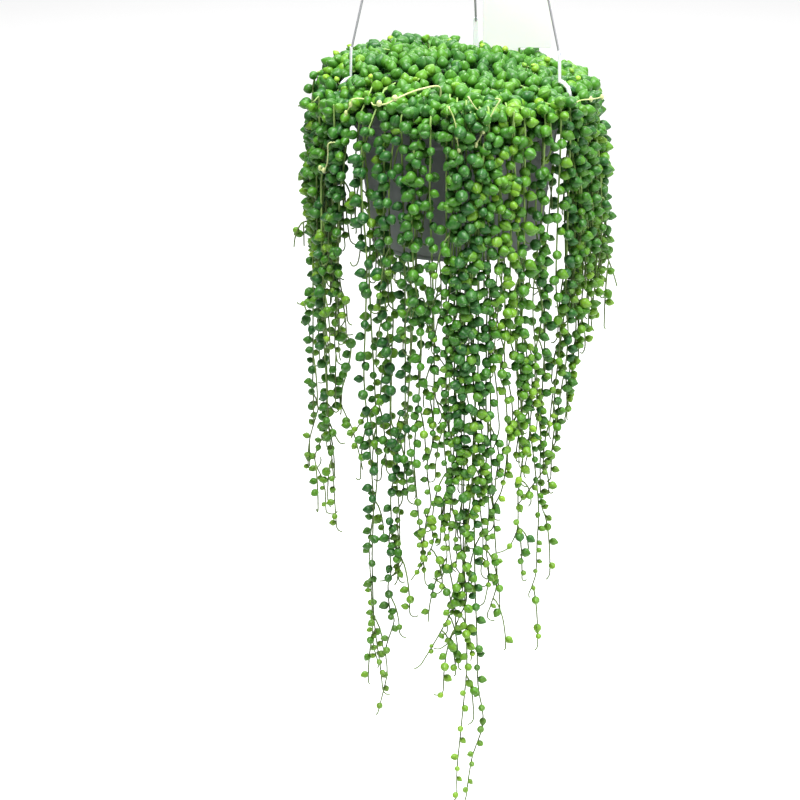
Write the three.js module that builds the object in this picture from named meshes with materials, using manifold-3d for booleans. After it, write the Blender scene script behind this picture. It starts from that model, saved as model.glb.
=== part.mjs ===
// A string of pearls plant in a hanging pot: pot, soil, three-armed hanger, bare label, crown and strands.
// Millimetres, +Z up. The origin is the point inside the hook that rests on whatever carries it.
import * as THREE from "three";
import { mergeVertices } from "three/addons/utils/BufferGeometryUtils.js";
import Module from "manifold-3d";

const wasm = await Module();
wasm.setup();

// ---- driving dimensions ----
const DEG = Math.PI / 180;
const GOLDEN_TURN = 137.508 * DEG;
const GAP = 0.3;

const HANGER_DROP = 430; // hanging point down to the rim's top
const POT_HEIGHT = 120;
const RIM_RADIUS = 90;
const RIM_BAND = 14;
const POT_MOUTH = 83; // inner radius just under the rim
const POT_BASE = 66;
const WALL = 1.6;
const LEDGE_DEPTH = 27;
const LEDGE_STEP = 2;
const FOOT_HEIGHT = 3;
const FLOOR_RISE = 4;
const POT_SEGMENTS = 30;
const DRAIN_HOLES = 6;
const DRAIN_RADIUS = 4;
const DRAIN_CIRCLE = 44;
const SOIL_LEVEL = -10;

const HOOK_INNER = 12;
const HOOK_WIRE = 2.4; // the hook's radius
const HOOK_SIDES = 7;
const HOOK_ARC = [-150, 60, 21]; // degrees from the top of the bend: its tip, the start of its shank, a step
// The shank's way down to the hub, as [share of the bend's radius, height].
const HOOK_SHANK = [[0.92, -22], [0.55, -29], [0.12, -35], [0, -40]];
const HUB_RADIUS = 10;
const HUB_TOP = -46;
const HUB_THICKNESS = 5;
const ARM_CIRCLE = 6.5; // radius at which the arms hang in the hub
const ARM_RADIUS = 0.9;
const ARM_HEAD = 2; // radius of the knob that rests on the hub
const ARM_SIDES = 6;
const ARM_CLEARANCE = 0.45;
// How the thread leaves the hub's hole and bends into its slant, as [radius beyond the arm circle, fall].
const ARM_BEND = [[0, -3], [0.5, -6], [1.7, -10]];
const BAND_WIDTH = 4.5;
const BAND_THICKNESS = 1.2;
const BAND_CIRCLE = 84;
const BAND_TOP = 39; // above the rim
// The clip's arch from the band's foot over to its leg, outside and back inside, as [radius, height].
const ARCH_OUTSIDE = [[85.6, 16], [89, 14.6], [92.4, 11.4], [94.2, 6.5], [94.5, 1]];
const ARCH_INSIDE = [[93, 0.6], [92.6, 5.8], [91.1, 10.3], [88.3, 13.2], [84.4, 14.4]];
const CLIP_DROP = 16;
const CLIP_FOOT = 1.4; // thickness of the clip's foot, which reaches under the rim's band
const CLIP_TOE = 86.4; // radius of the foot's inner end
const ARM_BEARINGS = { right: 67, back: 169, left: -76 };

// The crown's slope as [radius, height above the rim] of each ring of pearls, from its middle to its skirt.
const CROWN_SLOPE = [
  [0, 28], [15.5, 27.3], [31, 25.8], [46, 23.5], [61, 20.5], [76, 16.8], [91, 12.3], [105, 7.2], [114, 1.5],
  [113, -2],
];
const CROWN_TILT = 0.07; // how much the crown falls to the right
const CROWN_LEVEL = [116, 30]; // the radius where the tilt has ended, and over what width it ends
const CROWN_UNDERSIDE = -2;
const CROWN_SPACING = 16.2; // from one pearl of a ring to the next
const CROWN_PEARL = 7; // how far a pearl stands out of the crown
const CROWN_SHOULDER = [0.7, 0.66]; // a pearl's shoulder, as shares of its half width and of its height
const CROWN_VALLEY = 1.5; // how deep the valleys between the pearls are
const CROWN_JITTER = 2;
const RIM_CLEARANCE = 2;
const ROOTS = 5;
const ROOT_RADIUS = 2;
const ROOT_DEPTH = 14;
const ROOT_CIRCLE = 34;

const STEM_RADIUS = 0.8;
const STEM_SIDES = 3;
const PEARL_SIDES = 5;
const PEARL_TOP = 4.7; // radius of the oldest pearls
const PEARL_TIP = 2.6; // radius of the youngest
const PEARL_LENGTH = 0.85; // half a pearl's length along its stem, in pearl radii
const PEARL_SPACING = 40;
const PEARL_ASIDE = 0.6; // how far a pearl sits beside its stem, in pearl radii
const FIRST_PEARL = 9; // depth below the rim
const BARE_TIP = 14;
const PEG = 6;
const SOCKET_RADIUS = 2.6;
const PULL_IN = 0.00035; // how much nearer the axis a strand hangs for each mm it falls
const BULGE = 10; // how far the outer strands swing out
const BULGE_DEPTH = 110;
const BULGE_FROM = 105;
const SWAY = 3; // the slow sideways wave of a strand, which starts below SWAY_FROM
const SWAY_LENGTH = 190;
const SWAY_FROM = 60;

// Each strand: bearing in degrees (0 is the front, 90 the right), radius at its root, fall below the rim, and
// how far its tip has drifted sideways, positive to the right as seen from outside.
const STRANDS = [
  [-40, 113, 470, 6], [-28, 113, 485, -8], [-17, 113, 370, 4], [-6, 113, 442, -10],
  [6, 113, 556, -6], [17, 113, 397, -6], [28, 113, 381, 2],
  [-45, 100, 120, -3], [-34, 100, 380, 2], [-22, 100, 330, 0], [-11, 100, 368, -8],
  [0, 100, 300, 0], [11, 100, 430, -6], [22, 100, 340, -4], [33, 100, 320, 0], [43, 100, 60, 0],
  [55, 113, 334, -24], [66, 113, 165, -14], [77, 113, 150, -6], [88, 113, 145, 0],
  [99, 113, 150, 4], [110, 113, 160, 0], [121, 113, 200, 0],
  [59, 101, 250, -4], [80, 101, 150, -4], [93, 101, 150, 0], [106, 101, 190, 0],
  [-55, 113, 190, -6], [-66, 113, 346, 0], [-77, 113, 312, -4], [-88, 113, 312, 0],
  [-99, 113, 226, 0], [-110, 113, 245, 0], [-121, 113, 235, 0],
  [-61, 101, 112, 0], [-83, 101, 190, 0], [-95, 101, 170, 0], [-107, 101, 125, 0],
  [134, 100, 300, 0], [146, 100, 210, 0], [157, 100, 260, 0], [181, 100, 350, 0],
  [193, 100, 240, 0], [205, 100, 310, 0], [217, 100, 200, 0],
  [151, 113, 340, 0], [163, 113, 190, 0], [175, 113, 280, 0], [187, 113, 220, 0], [199, 113, 370, 0],
  [211, 113, 260, 0],
];

// The pale young shoot that lies over the front, as points from its root to its tip, and its two buds.
const RUNNER = [
  [-14, -85, 12], [-14, -85.4, 21], [-17, -88, 24.5], [-28.8, -95.8, 24.1], [-35.8, -97.6, 22.2],
  [-42.3, -100.4, 20.2], [-48.2, -102.2, 17.7], [-54, -102.7, 14.8], [-60, -101.6, 13.4], [-64.2, -99, 12.6],
  [-66, -96.6, 14.2],
];
const RUNNER_RADIUS = 0.9;
const BUDS = [6, 8];
const BUD_RADIUS = 2.4;
const BUD_SIDES = 5;
const RUNNER_SIDES = 4;

const LABEL_PLACE = [44, 50];
const LABEL_HEAD = [54, 43];
const LABEL_STEM = 10;
const LABEL_THICKNESS = 0.8;
const LABEL_HEAD_FROM = 22;
const LABEL_HEAD_ASIDE = 4;
const LABEL_FOOT = -45;
const LABEL_CLEARANCE = 0.6;

// ---- colours ----
const COLOURS = {
  pot: { color: 0x8f9296, roughness: 0.45, metalness: 0 },
  soil: { color: 0x3b2a1e, roughness: 0.95, metalness: 0 },
  hanger: { color: 0xf1f2f2, roughness: 0.4, metalness: 0 },
  label: { color: 0xf6f6f4, roughness: 0.5, metalness: 0 },
  crown: { color: 0x3f8a2c, roughness: 0.4, metalness: 0 },
  strand: { color: 0x4b9a35, roughness: 0.4, metalness: 0 },
  runner: { color: 0xe4e6b0, roughness: 0.5, metalness: 0 },
};

// ---- small tools ----
let seed = 20261;

// The next number from 0 to 1 of a fixed sequence.
function random() {
  seed = (seed * 16807) % 2147483647;
  return seed / 2147483647;
}

// A point at a bearing, radius and height. Bearing 0 is the front (-Y) and 90 the right (+X).
function around(bearing, radius, z) {
  return new THREE.Vector3(radius * Math.sin(bearing * DEG), -radius * Math.cos(bearing * DEG), z);
}

function named(name, geometry, finish) {
  geometry.computeVertexNormals();
  const mesh = new THREE.Mesh(geometry, new THREE.MeshStandardMaterial(COLOURS[finish]));
  mesh.name = name;
  return mesh;
}

function toSolid(geometry) {
  const bare = geometry.clone();
  bare.deleteAttribute("normal");
  bare.deleteAttribute("uv");
  const merged = mergeVertices(bare, 1e-4);
  const vertProperties = new Float32Array(merged.attributes.position.array);
  const triVerts = new Uint32Array(merged.index.array);
  return new wasm.Manifold(new wasm.Mesh({ numProp: 3, vertProperties, triVerts }));
}

function toGeometry(solid) {
  const mesh = solid.getMesh();
  const geometry = new THREE.BufferGeometry();
  geometry.setAttribute("position", new THREE.BufferAttribute(mesh.vertProperties.slice(), 3));
  geometry.setIndex(new THREE.BufferAttribute(mesh.triVerts.slice(), 1));
  return geometry;
}

// A lathed solid about Z from [radius, z] points that start and end on the axis and run down its outside.
function turned(profile, segments) {
  const points = profile.map(([radius, z]) => new THREE.Vector2(radius, z)).reverse();
  return new THREE.LatheGeometry(points, segments).rotateX(Math.PI / 2);
}

function rod(place, radius, from, to, sides) {
  const geometry = new THREE.CylinderGeometry(radius, radius, to - from, sides).rotateX(Math.PI / 2);
  return geometry.translate(place.x, place.y, (from + to) / 2);
}

function ringOf(section, tangent) {
  const across = new THREE.Vector3().crossVectors(tangent, new THREE.Vector3(0, 1, 0)).normalize();
  const other = new THREE.Vector3().crossVectors(tangent, across);
  const ring = [];
  for (let i = 0; i < section.sides; i++) {
    const angle = (2 * Math.PI * i) / section.sides;
    const point = section.at.clone();
    point.addScaledVector(across, section.radius * Math.cos(angle));
    point.addScaledVector(other, section.radius * Math.sin(angle));
    ring.push(point);
  }
  return ring;
}

// The wall between two rings, which may have different numbers of points.
function stitch(first, second, triangles) {
  let i = 0;
  let j = 0;
  while (i < first.length || j < second.length) {
    const a = first[i % first.length];
    const b = second[j % second.length];
    const onFirst = i < first.length && (i + 1) / first.length <= (j + 1) / second.length;
    if (onFirst || j === second.length) {
      if (first.length > 1) {
        triangles.push(a, first[(i + 1) % first.length], b);
      }
      i += 1;
    } else {
      triangles.push(a, second[(j + 1) % second.length], b);
      j += 1;
    }
  }
}

// A closed solid through sections {at, radius, sides} in order, along a path that never runs along Y.
function sweep(sections) {
  const axis = sections.map((section) => section.axis ?? section.at);
  const rings = sections.map((section, i) => {
    const before = axis[Math.max(i - 1, 0)];
    const after = axis[Math.min(i + 1, axis.length - 1)];
    return ringOf(section, after.clone().sub(before).normalize());
  });
  const triangles = [];
  const start = rings[0];
  const end = rings[rings.length - 1];
  for (let i = 1; i < start.length - 1; i++) {
    triangles.push(start[0], start[i + 1], start[i]);
  }
  for (let i = 1; i < rings.length; i++) {
    stitch(rings[i - 1], rings[i], triangles);
  }
  for (let i = 1; i < end.length - 1; i++) {
    triangles.push(end[0], end[i], end[i + 1]);
  }
  return new THREE.BufferGeometry().setFromPoints(triangles);
}

// ---- the pot and its soil ----
function wallRadius(z) {
  const under = POT_MOUTH - (z < -LEDGE_DEPTH ? LEDGE_STEP : 0);
  const foot = POT_BASE - WALL;
  const share = -z / POT_HEIGHT;
  return under + (foot - (POT_MOUTH - LEDGE_STEP)) * share;
}

function potMesh() {
  const lip = RIM_RADIUS;
  const ledgeTop = -LEDGE_DEPTH + 1;
  const ledgeFoot = -LEDGE_DEPTH - 1;
  const floorTop = -POT_HEIGHT + FLOOR_RISE + WALL;
  const footTop = -POT_HEIGHT + FOOT_HEIGHT;
  const inner = (z) => wallRadius(z);
  const outer = (z) => wallRadius(z) + WALL;
  const profile = [
    [0, floorTop],
    [inner(floorTop), floorTop],
    [inner(ledgeFoot), ledgeFoot],
    [inner(ledgeTop), ledgeTop],
    [POT_MOUTH, 0],
    [lip, 0],
    [lip, -RIM_BAND],
    [lip - WALL, -RIM_BAND],
    [lip - WALL, -WALL],
    [outer(-WALL), -WALL],
    [outer(ledgeTop), ledgeTop],
    [outer(ledgeFoot), ledgeFoot],
    [outer(footTop), footTop],
    [POT_BASE + 1, footTop],
    [POT_BASE + 1, -POT_HEIGHT],
    [POT_BASE - WALL, -POT_HEIGHT],
    [POT_BASE - WALL, floorTop - WALL],
    [0, floorTop - WALL],
  ];
  let pot = toSolid(turned(profile, POT_SEGMENTS));
  for (let i = 0; i < DRAIN_HOLES; i++) {
    const place = around((360 * i) / DRAIN_HOLES, DRAIN_CIRCLE, 0);
    pot = pot.subtract(toSolid(rod(place, DRAIN_RADIUS, -POT_HEIGHT - 1, floorTop + 1, 8)));
  }
  return named("pot", toGeometry(pot), "pot");
}

function rootPlaces() {
  const places = [new THREE.Vector3(0, 0, 0)];
  for (let i = 1; i < ROOTS; i++) {
    places.push(around((360 * (i - 0.5)) / (ROOTS - 1), ROOT_CIRCLE, 0));
  }
  return places;
}

// The room that the label takes between two heights, where it is as wide as given.
function labelHole(from, to, wide, aside) {
  const [x, y] = LABEL_PLACE;
  const width = wide + 2 * LABEL_CLEARANCE;
  const thickness = LABEL_THICKNESS + 2 * LABEL_CLEARANCE;
  return new THREE.BoxGeometry(width, thickness, to - from).translate(x + aside, y, (from + to) / 2);
}

function soilMesh() {
  const floorTop = -POT_HEIGHT + FLOOR_RISE + WALL + GAP;
  const inner = (z) => wallRadius(z) - GAP;
  const profile = [
    [0, SOIL_LEVEL],
    [inner(SOIL_LEVEL), SOIL_LEVEL],
    [inner(-LEDGE_DEPTH + 1), -LEDGE_DEPTH + 1],
    [inner(-LEDGE_DEPTH - 1), -LEDGE_DEPTH - 1],
    [inner(floorTop), floorTop],
    [0, floorTop],
  ];
  let soil = toSolid(turned(profile, POT_SEGMENTS));
  for (const place of rootPlaces()) {
    soil = soil.subtract(toSolid(rod(place, ROOT_RADIUS + 0.8, SOIL_LEVEL - ROOT_DEPTH, SOIL_LEVEL + 1, 5)));
  }
  soil = soil.subtract(toSolid(labelHole(LABEL_FOOT - 1, SOIL_LEVEL + 1, LABEL_STEM, 0)));
  return named("soil", toGeometry(soil), "soil");
}

// ---- the hanger ----
function hookMesh() {
  const bend = HOOK_INNER + HOOK_WIRE;
  const sections = [];
  const section = (x, z) => {
    sections.push({ at: new THREE.Vector3(x, 0, z), radius: HOOK_WIRE, sides: HOOK_SIDES });
  };
  const [tip, shank, step] = HOOK_ARC;
  for (let angle = tip; angle <= shank; angle += step) {
    section(bend * Math.sin(angle * DEG), bend * Math.cos(angle * DEG) - HOOK_INNER);
  }
  for (const [share, z] of HOOK_SHANK) {
    section(bend * share, z);
  }
  section(0, HUB_TOP - 1);
  const hubFoot = HUB_TOP - HUB_THICKNESS;
  const hub = [
    [0, HUB_TOP + 3],
    [3, HUB_TOP + 2],
    [3.6, HUB_TOP],
    [HUB_RADIUS, HUB_TOP],
    [HUB_RADIUS, hubFoot + 1],
    [HUB_RADIUS - 1.5, hubFoot],
    [0, hubFoot],
  ];
  let solid = toSolid(sweep(sections)).add(toSolid(turned(hub, 16)));
  for (const bearing of Object.values(ARM_BEARINGS)) {
    const place = around(bearing, ARM_CIRCLE, 0);
    solid = solid.subtract(toSolid(rod(place, ARM_RADIUS + ARM_CLEARANCE, hubFoot - 1, HUB_TOP + 1, 8)));
  }
  return named("hanger_hook", toGeometry(solid), "hanger");
}

// One arm, drawn in the plane of its bearing: a round thread from the hub, a flat band and the clip on the rim.
function armMesh(side) {
  const hubFoot = HUB_TOP - HUB_THICKNESS;
  const bandTop = -HANGER_DROP + BAND_TOP;
  const thread = [
    [ARM_CIRCLE, HUB_TOP + 1],
    ...ARM_BEND.map(([out, fall]) => [ARM_CIRCLE + out, hubFoot + fall]),
    [BAND_CIRCLE + BAND_THICKNESS / 2, bandTop - 3],
  ].map(([radius, z]) => ({ at: new THREE.Vector3(radius, 0, z), radius: ARM_RADIUS, sides: ARM_SIDES }));
  const head = new THREE.IcosahedronGeometry(ARM_HEAD).translate(ARM_CIRCLE, 0, HUB_TOP + ARM_HEAD + 0.2);
  const [legOutside] = ARCH_OUTSIDE.at(-1);
  const [legInside] = ARCH_INSIDE[0];
  const outline = [
    [BAND_CIRCLE, BAND_TOP],
    [BAND_CIRCLE + BAND_THICKNESS, BAND_TOP],
    ...ARCH_OUTSIDE,
    [legOutside, -CLIP_DROP],
    [CLIP_TOE, -CLIP_DROP],
    [CLIP_TOE, -CLIP_DROP + CLIP_FOOT],
    [legInside, -CLIP_DROP + CLIP_FOOT],
    ...ARCH_INSIDE,
  ];
  const shape = new THREE.Shape(outline.map(([radius, z]) => new THREE.Vector2(radius, z)));
  const clip = new THREE.ExtrudeGeometry(shape, { depth: BAND_WIDTH, bevelEnabled: false });
  clip.translate(0, 0, -BAND_WIDTH / 2).rotateX(Math.PI / 2).translate(0, 0, -HANGER_DROP);
  const solid = toSolid(clip).add(toSolid(sweep(thread))).add(toSolid(head));
  const mesh = named(`hanger_arm_${side}`, toGeometry(solid), "hanger");
  mesh.rotation.z = (ARM_BEARINGS[side] - 90) * DEG;
  return mesh;
}

// ---- the label ----
function labelMesh() {
  const [headWidth, headHeight] = LABEL_HEAD;
  const left = LABEL_HEAD_ASIDE - headWidth / 2;
  const right = LABEL_HEAD_ASIDE + headWidth / 2;
  const top = LABEL_HEAD_FROM + headHeight;
  const half = LABEL_STEM / 2;
  const corner = 5;
  const point = LABEL_FOOT + 8;
  const shape = new THREE.Shape();
  shape.moveTo(-half, point);
  shape.lineTo(0, LABEL_FOOT);
  shape.lineTo(half, point);
  shape.lineTo(half, LABEL_HEAD_FROM);
  shape.lineTo(right, LABEL_HEAD_FROM);
  shape.lineTo(right, top - corner);
  shape.absarc(right - corner, top - corner, corner, 0, Math.PI / 2);
  shape.lineTo(left + corner, top);
  shape.absarc(left + corner, top - corner, corner, Math.PI / 2, Math.PI);
  shape.lineTo(left, LABEL_HEAD_FROM);
  shape.lineTo(-half, LABEL_HEAD_FROM);
  const sheet = { depth: LABEL_THICKNESS, bevelEnabled: false, curveSegments: 3 };
  const plate = new THREE.ExtrudeGeometry(shape, sheet);
  plate.translate(0, 0, -LABEL_THICKNESS / 2).rotateX(Math.PI / 2);
  const mesh = named("plant_label", plate, "label");
  mesh.position.set(LABEL_PLACE[0], LABEL_PLACE[1], 0);
  return mesh;
}

// ---- the crown ----
// Where each pearl of the crown sits: rings of {base, normal}, and a last ring that only bounds them.
function crownRings() {
  return CROWN_SLOPE.map(([radius, height], k) => {
    const [innerRadius, innerHeight] = CROWN_SLOPE[Math.max(k - 1, 0)];
    const [outerRadius, outerHeight] = CROWN_SLOPE[Math.min(k + 1, CROWN_SLOPE.length - 1)];
    const tilt = k === 0 ? 0 : Math.atan2(innerHeight - outerHeight, outerRadius - innerRadius) / DEG;
    const last = k === CROWN_SLOPE.length - 1;
    const count = Math.max(1, Math.round((2 * Math.PI * radius) / CROWN_SPACING));
    const ring = [];
    for (let i = 0; i < count; i++) {
      const shift = last ? 0 : CROWN_JITTER;
      const bearing = (360 * (i + (shift * (random() - 0.5)) / CROWN_SPACING)) / count;
      const base = around(bearing, radius + shift * (random() - 0.5), height + shift * (random() - 0.5));
      base.z -= CROWN_TILT * base.x * Math.min(1, (CROWN_LEVEL[0] - radius) / CROWN_LEVEL[1]);
      const normal = around(bearing, Math.sin(tilt * DEG), Math.cos(tilt * DEG));
      ring.push({ base, normal });
    }
    return ring;
  });
}

// The valleys round one pearl in order. Its cell holds, for each neighbour, the valley after it and the next
// neighbour.
function cornersOf(cell) {
  const start = cell.keys().next().value;
  const corners = [];
  let neighbour = start;
  do {
    const { valley, next } = cell.get(neighbour);
    corners.push(valley);
    neighbour = next;
  } while (neighbour !== start);
  return corners;
}

// One pearl as a low dome over its cell.
function domeOver({ base, normal }, corners, triangles) {
  const [shoulderWidth, shoulderHeight] = CROWN_SHOULDER;
  const top = base.clone().addScaledVector(normal, CROWN_PEARL);
  const shoulders = corners.map((corner) => {
    const shoulder = base.clone().lerp(corner, shoulderWidth);
    return shoulder.addScaledVector(normal, CROWN_PEARL * shoulderHeight);
  });
  corners.forEach((corner, i) => {
    const next = (i + 1) % corners.length;
    triangles.push(top, shoulders[next], shoulders[i]);
    triangles.push(shoulders[i], corners[next], corner);
    triangles.push(shoulders[i], shoulders[next], corners[next]);
  });
}

// The crown's pearly upper surface, closed by a flat underside.
function crownShell() {
  const rings = crownRings();
  const cells = new Map(rings.flat().map((pearl) => [pearl, new Map()]));
  let edge = [];
  for (let k = 1; k < rings.length; k++) {
    const trios = [];
    stitch(rings[k - 1], rings[k], trios);
    edge = [];
    for (let t = 0; t < trios.length; t += 3) {
      const trio = trios.slice(t, t + 3);
      const valley = new THREE.Vector3();
      for (const { base, normal } of trio) {
        valley.addScaledVector(base, 1 / 3).addScaledVector(normal, -CROWN_VALLEY / 3);
      }
      if (k === rings.length - 1) {
        valley.z = CROWN_UNDERSIDE;
      }
      trio.forEach((pearl, i) => cells.get(pearl).set(trio[(i + 1) % 3], { valley, next: trio[(i + 2) % 3] }));
      edge.push(valley);
    }
  }
  const triangles = [];
  for (const pearl of rings.slice(0, -1).flat()) {
    domeOver(pearl, cornersOf(cells.get(pearl)), triangles);
  }
  const middle = new THREE.Vector3(0, 0, CROWN_UNDERSIDE);
  edge.forEach((valley, i) => triangles.push(middle, edge[(i + 1) % edge.length], valley));
  return toSolid(new THREE.BufferGeometry().setFromPoints(triangles));
}

// A plain disc about Z, from one height down to another.
function disc(radius, top, foot) {
  return toSolid(turned([[0, top], [radius, top], [radius, foot], [0, foot]], POT_SEGMENTS));
}

// The trench in the underside that the pot's rim stands in.
function rimTrench() {
  const ring = disc(RIM_RADIUS + RIM_CLEARANCE, 1, CROWN_UNDERSIDE - 1);
  return ring.subtract(disc(POT_MOUTH - RIM_CLEARANCE, 2, CROWN_UNDERSIDE - 2));
}

// The crown's foot inside the pot, with the roots that stand in the soil.
function crownFoot() {
  let solid = disc(POT_MOUTH - 2 * RIM_CLEARANCE, 0, SOIL_LEVEL + GAP);
  for (const place of rootPlaces()) {
    solid = solid.add(toSolid(rod(place, ROOT_RADIUS, SOIL_LEVEL - ROOT_DEPTH + 1, 0, 5)));
  }
  return solid;
}

// Where the arms, the label, the young shoot and the strands stand in the crown.
function crownHoles() {
  const above = 60;
  const [clipInside, clipOutside] = [BAND_CIRCLE - 1.5, ARCH_OUTSIDE.at(-1)[0] + 2];
  const holes = Object.values(ARM_BEARINGS).map((bearing) => {
    const slot = new THREE.BoxGeometry(clipOutside - clipInside, BAND_WIDTH + 2, above);
    slot.translate((clipInside + clipOutside) / 2, 0, above / 2 + 2 * CROWN_UNDERSIDE);
    return slot.rotateZ((bearing - 90) * DEG);
  });
  holes.push(labelHole(SOIL_LEVEL - 1, above, LABEL_STEM, 0));
  holes.push(labelHole(LABEL_HEAD_FROM - LABEL_CLEARANCE, above, LABEL_HEAD[0], LABEL_HEAD_ASIDE));
  const [x, y, z] = RUNNER[0];
  holes.push(rod(new THREE.Vector3(x, y, 0), RUNNER_RADIUS + 1, z - 1, above, 5));
  for (const [bearing, radius] of STRANDS) {
    const top = CROWN_UNDERSIDE + PEG + 0.5;
    holes.push(rod(around(bearing, radius, 0), SOCKET_RADIUS, CROWN_UNDERSIDE - 1, top, STEM_SIDES));
  }
  return holes;
}

function crownMesh() {
  let crown = crownShell().subtract(rimTrench()).add(crownFoot());
  for (const hole of crownHoles()) {
    crown = crown.subtract(toSolid(hole));
  }
  const whole = crown.decompose().sort((a, b) => b.volume() - a.volume())[0];
  return named("crown", toGeometry(whole), "crown");
}

function runnerMesh() {
  const sections = RUNNER.map(([x, y, z], i) => {
    const axis = new THREE.Vector3(x, y, z);
    if (BUDS.includes(i)) {
      return { at: axis.clone().setZ(z + BUD_RADIUS / 2), axis, radius: BUD_RADIUS, sides: BUD_SIDES };
    }
    const thinning = 1 - i / (2 * RUNNER.length);
    return { at: axis, radius: RUNNER_RADIUS * thinning, sides: RUNNER_SIDES };
  });
  return named("runner", sweep(sections), "runner");
}

// ---- the strands ----
// The stem's middle line at a depth below the rim.
function strandPoint([bearing, radius, fall, drift], depth) {
  const share = depth / fall;
  const bulge = radius > BULGE_FROM ? BULGE * Math.sin((Math.PI / 2) * Math.min(1, depth / BULGE_DEPTH)) : 0;
  const hang = (radius + bulge) * (1 - PULL_IN * depth);
  const point = around(bearing, hang, -depth);
  const wave = SWAY * Math.sin((2 * Math.PI * depth) / SWAY_LENGTH + bearing + radius);
  const aside = drift * share * share + wave * Math.min(1, depth / SWAY_FROM);
  point.x += aside * Math.cos(bearing * DEG);
  point.y += aside * Math.sin(bearing * DEG);
  return point;
}

function strandMesh(strand, index) {
  const [bearing, radius, fall] = strand;
  const top = around(bearing, radius, CROWN_UNDERSIDE + PEG);
  const sections = [{ at: top, radius: STEM_RADIUS, sides: STEM_SIDES }];
  const stem = (depth, thickness) => {
    sections.push({ at: strandPoint(strand, depth), radius: thickness, sides: STEM_SIDES });
  };
  const count = Math.max(3, Math.round((fall - FIRST_PEARL - BARE_TIP) / PEARL_SPACING) + 1);
  const pitch = (fall - FIRST_PEARL - BARE_TIP) / (count - 1);
  for (let i = 0; i < count; i++) {
    const depth = FIRST_PEARL + i * pitch;
    const size = PEARL_TOP + (PEARL_TIP - PEARL_TOP) * (i / (count - 1));
    const turn = (index + i) * GOLDEN_TURN;
    const centre = strandPoint(strand, depth);
    const aside = new THREE.Vector3(Math.cos(turn), Math.sin(turn), 0).multiplyScalar(size * PEARL_ASIDE);
    stem(depth - PEARL_LENGTH * size, STEM_RADIUS);
    sections.push({ at: centre.clone().add(aside), axis: centre, radius: size, sides: PEARL_SIDES });
    stem(depth + PEARL_LENGTH * size, STEM_RADIUS);
  }
  stem(fall, STEM_RADIUS / 2);
  const name = `strand_${String(index + 1).padStart(2, "0")}`;
  return named(name, sweep(sections), "strand");
}

// ---- assembly ----
const part = new THREE.Group();
part.add(hookMesh());
for (const side of Object.keys(ARM_BEARINGS)) {
  part.add(armMesh(side));
}

const planted = new THREE.Group();
planted.position.z = -HANGER_DROP;
planted.add(potMesh());
planted.add(soilMesh());
planted.add(labelMesh());
planted.add(crownMesh());
planted.add(runnerMesh());
STRANDS.forEach((strand, index) => planted.add(strandMesh(strand, index)));
part.add(planted);

export default part;
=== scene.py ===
"""A string of pearls plant in a hanging nursery pot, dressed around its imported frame.

The frame's pot hangs from a three-armed hanger. A dense crown of pearl-like leaves covers it, and
thread-thin stems full of pearls trail from the crown's edge. Everything is in metres, in the frame's own
axes: +Z is up, -Y is the front, and the origin is the point of the hook that rests on its carrier.
"""

from __future__ import annotations

import logging
import math
import random
from dataclasses import dataclass, field
from enum import Enum
from typing import Any, ClassVar, Iterable, Sequence

import bmesh
import bpy
from mathutils import Matrix, Vector

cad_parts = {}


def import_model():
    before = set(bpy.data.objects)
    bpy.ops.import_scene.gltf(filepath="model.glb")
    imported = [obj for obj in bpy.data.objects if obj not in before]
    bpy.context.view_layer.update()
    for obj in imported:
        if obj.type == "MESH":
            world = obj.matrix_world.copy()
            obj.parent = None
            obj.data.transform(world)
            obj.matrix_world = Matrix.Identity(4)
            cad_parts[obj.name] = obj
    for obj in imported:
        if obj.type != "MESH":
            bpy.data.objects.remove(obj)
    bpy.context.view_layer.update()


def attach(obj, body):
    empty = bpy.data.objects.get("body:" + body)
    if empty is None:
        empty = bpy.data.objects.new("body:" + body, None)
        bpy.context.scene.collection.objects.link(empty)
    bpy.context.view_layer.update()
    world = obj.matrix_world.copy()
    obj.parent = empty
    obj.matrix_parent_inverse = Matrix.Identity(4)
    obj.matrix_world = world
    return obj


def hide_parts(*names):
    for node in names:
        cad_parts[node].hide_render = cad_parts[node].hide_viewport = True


log = logging.getLogger("hanging_pearls")

MM = 0.001
GOLDEN_TURN = math.radians(137.508)
RIM_HEIGHT = -430 * MM
RIM = Vector((0.0, 0.0, RIM_HEIGHT))
ROOT_BODY = "root"


# ---- Node trees written as Python ----


Node = bpy.types.Node
Values = dict[Any, Any]


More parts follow.
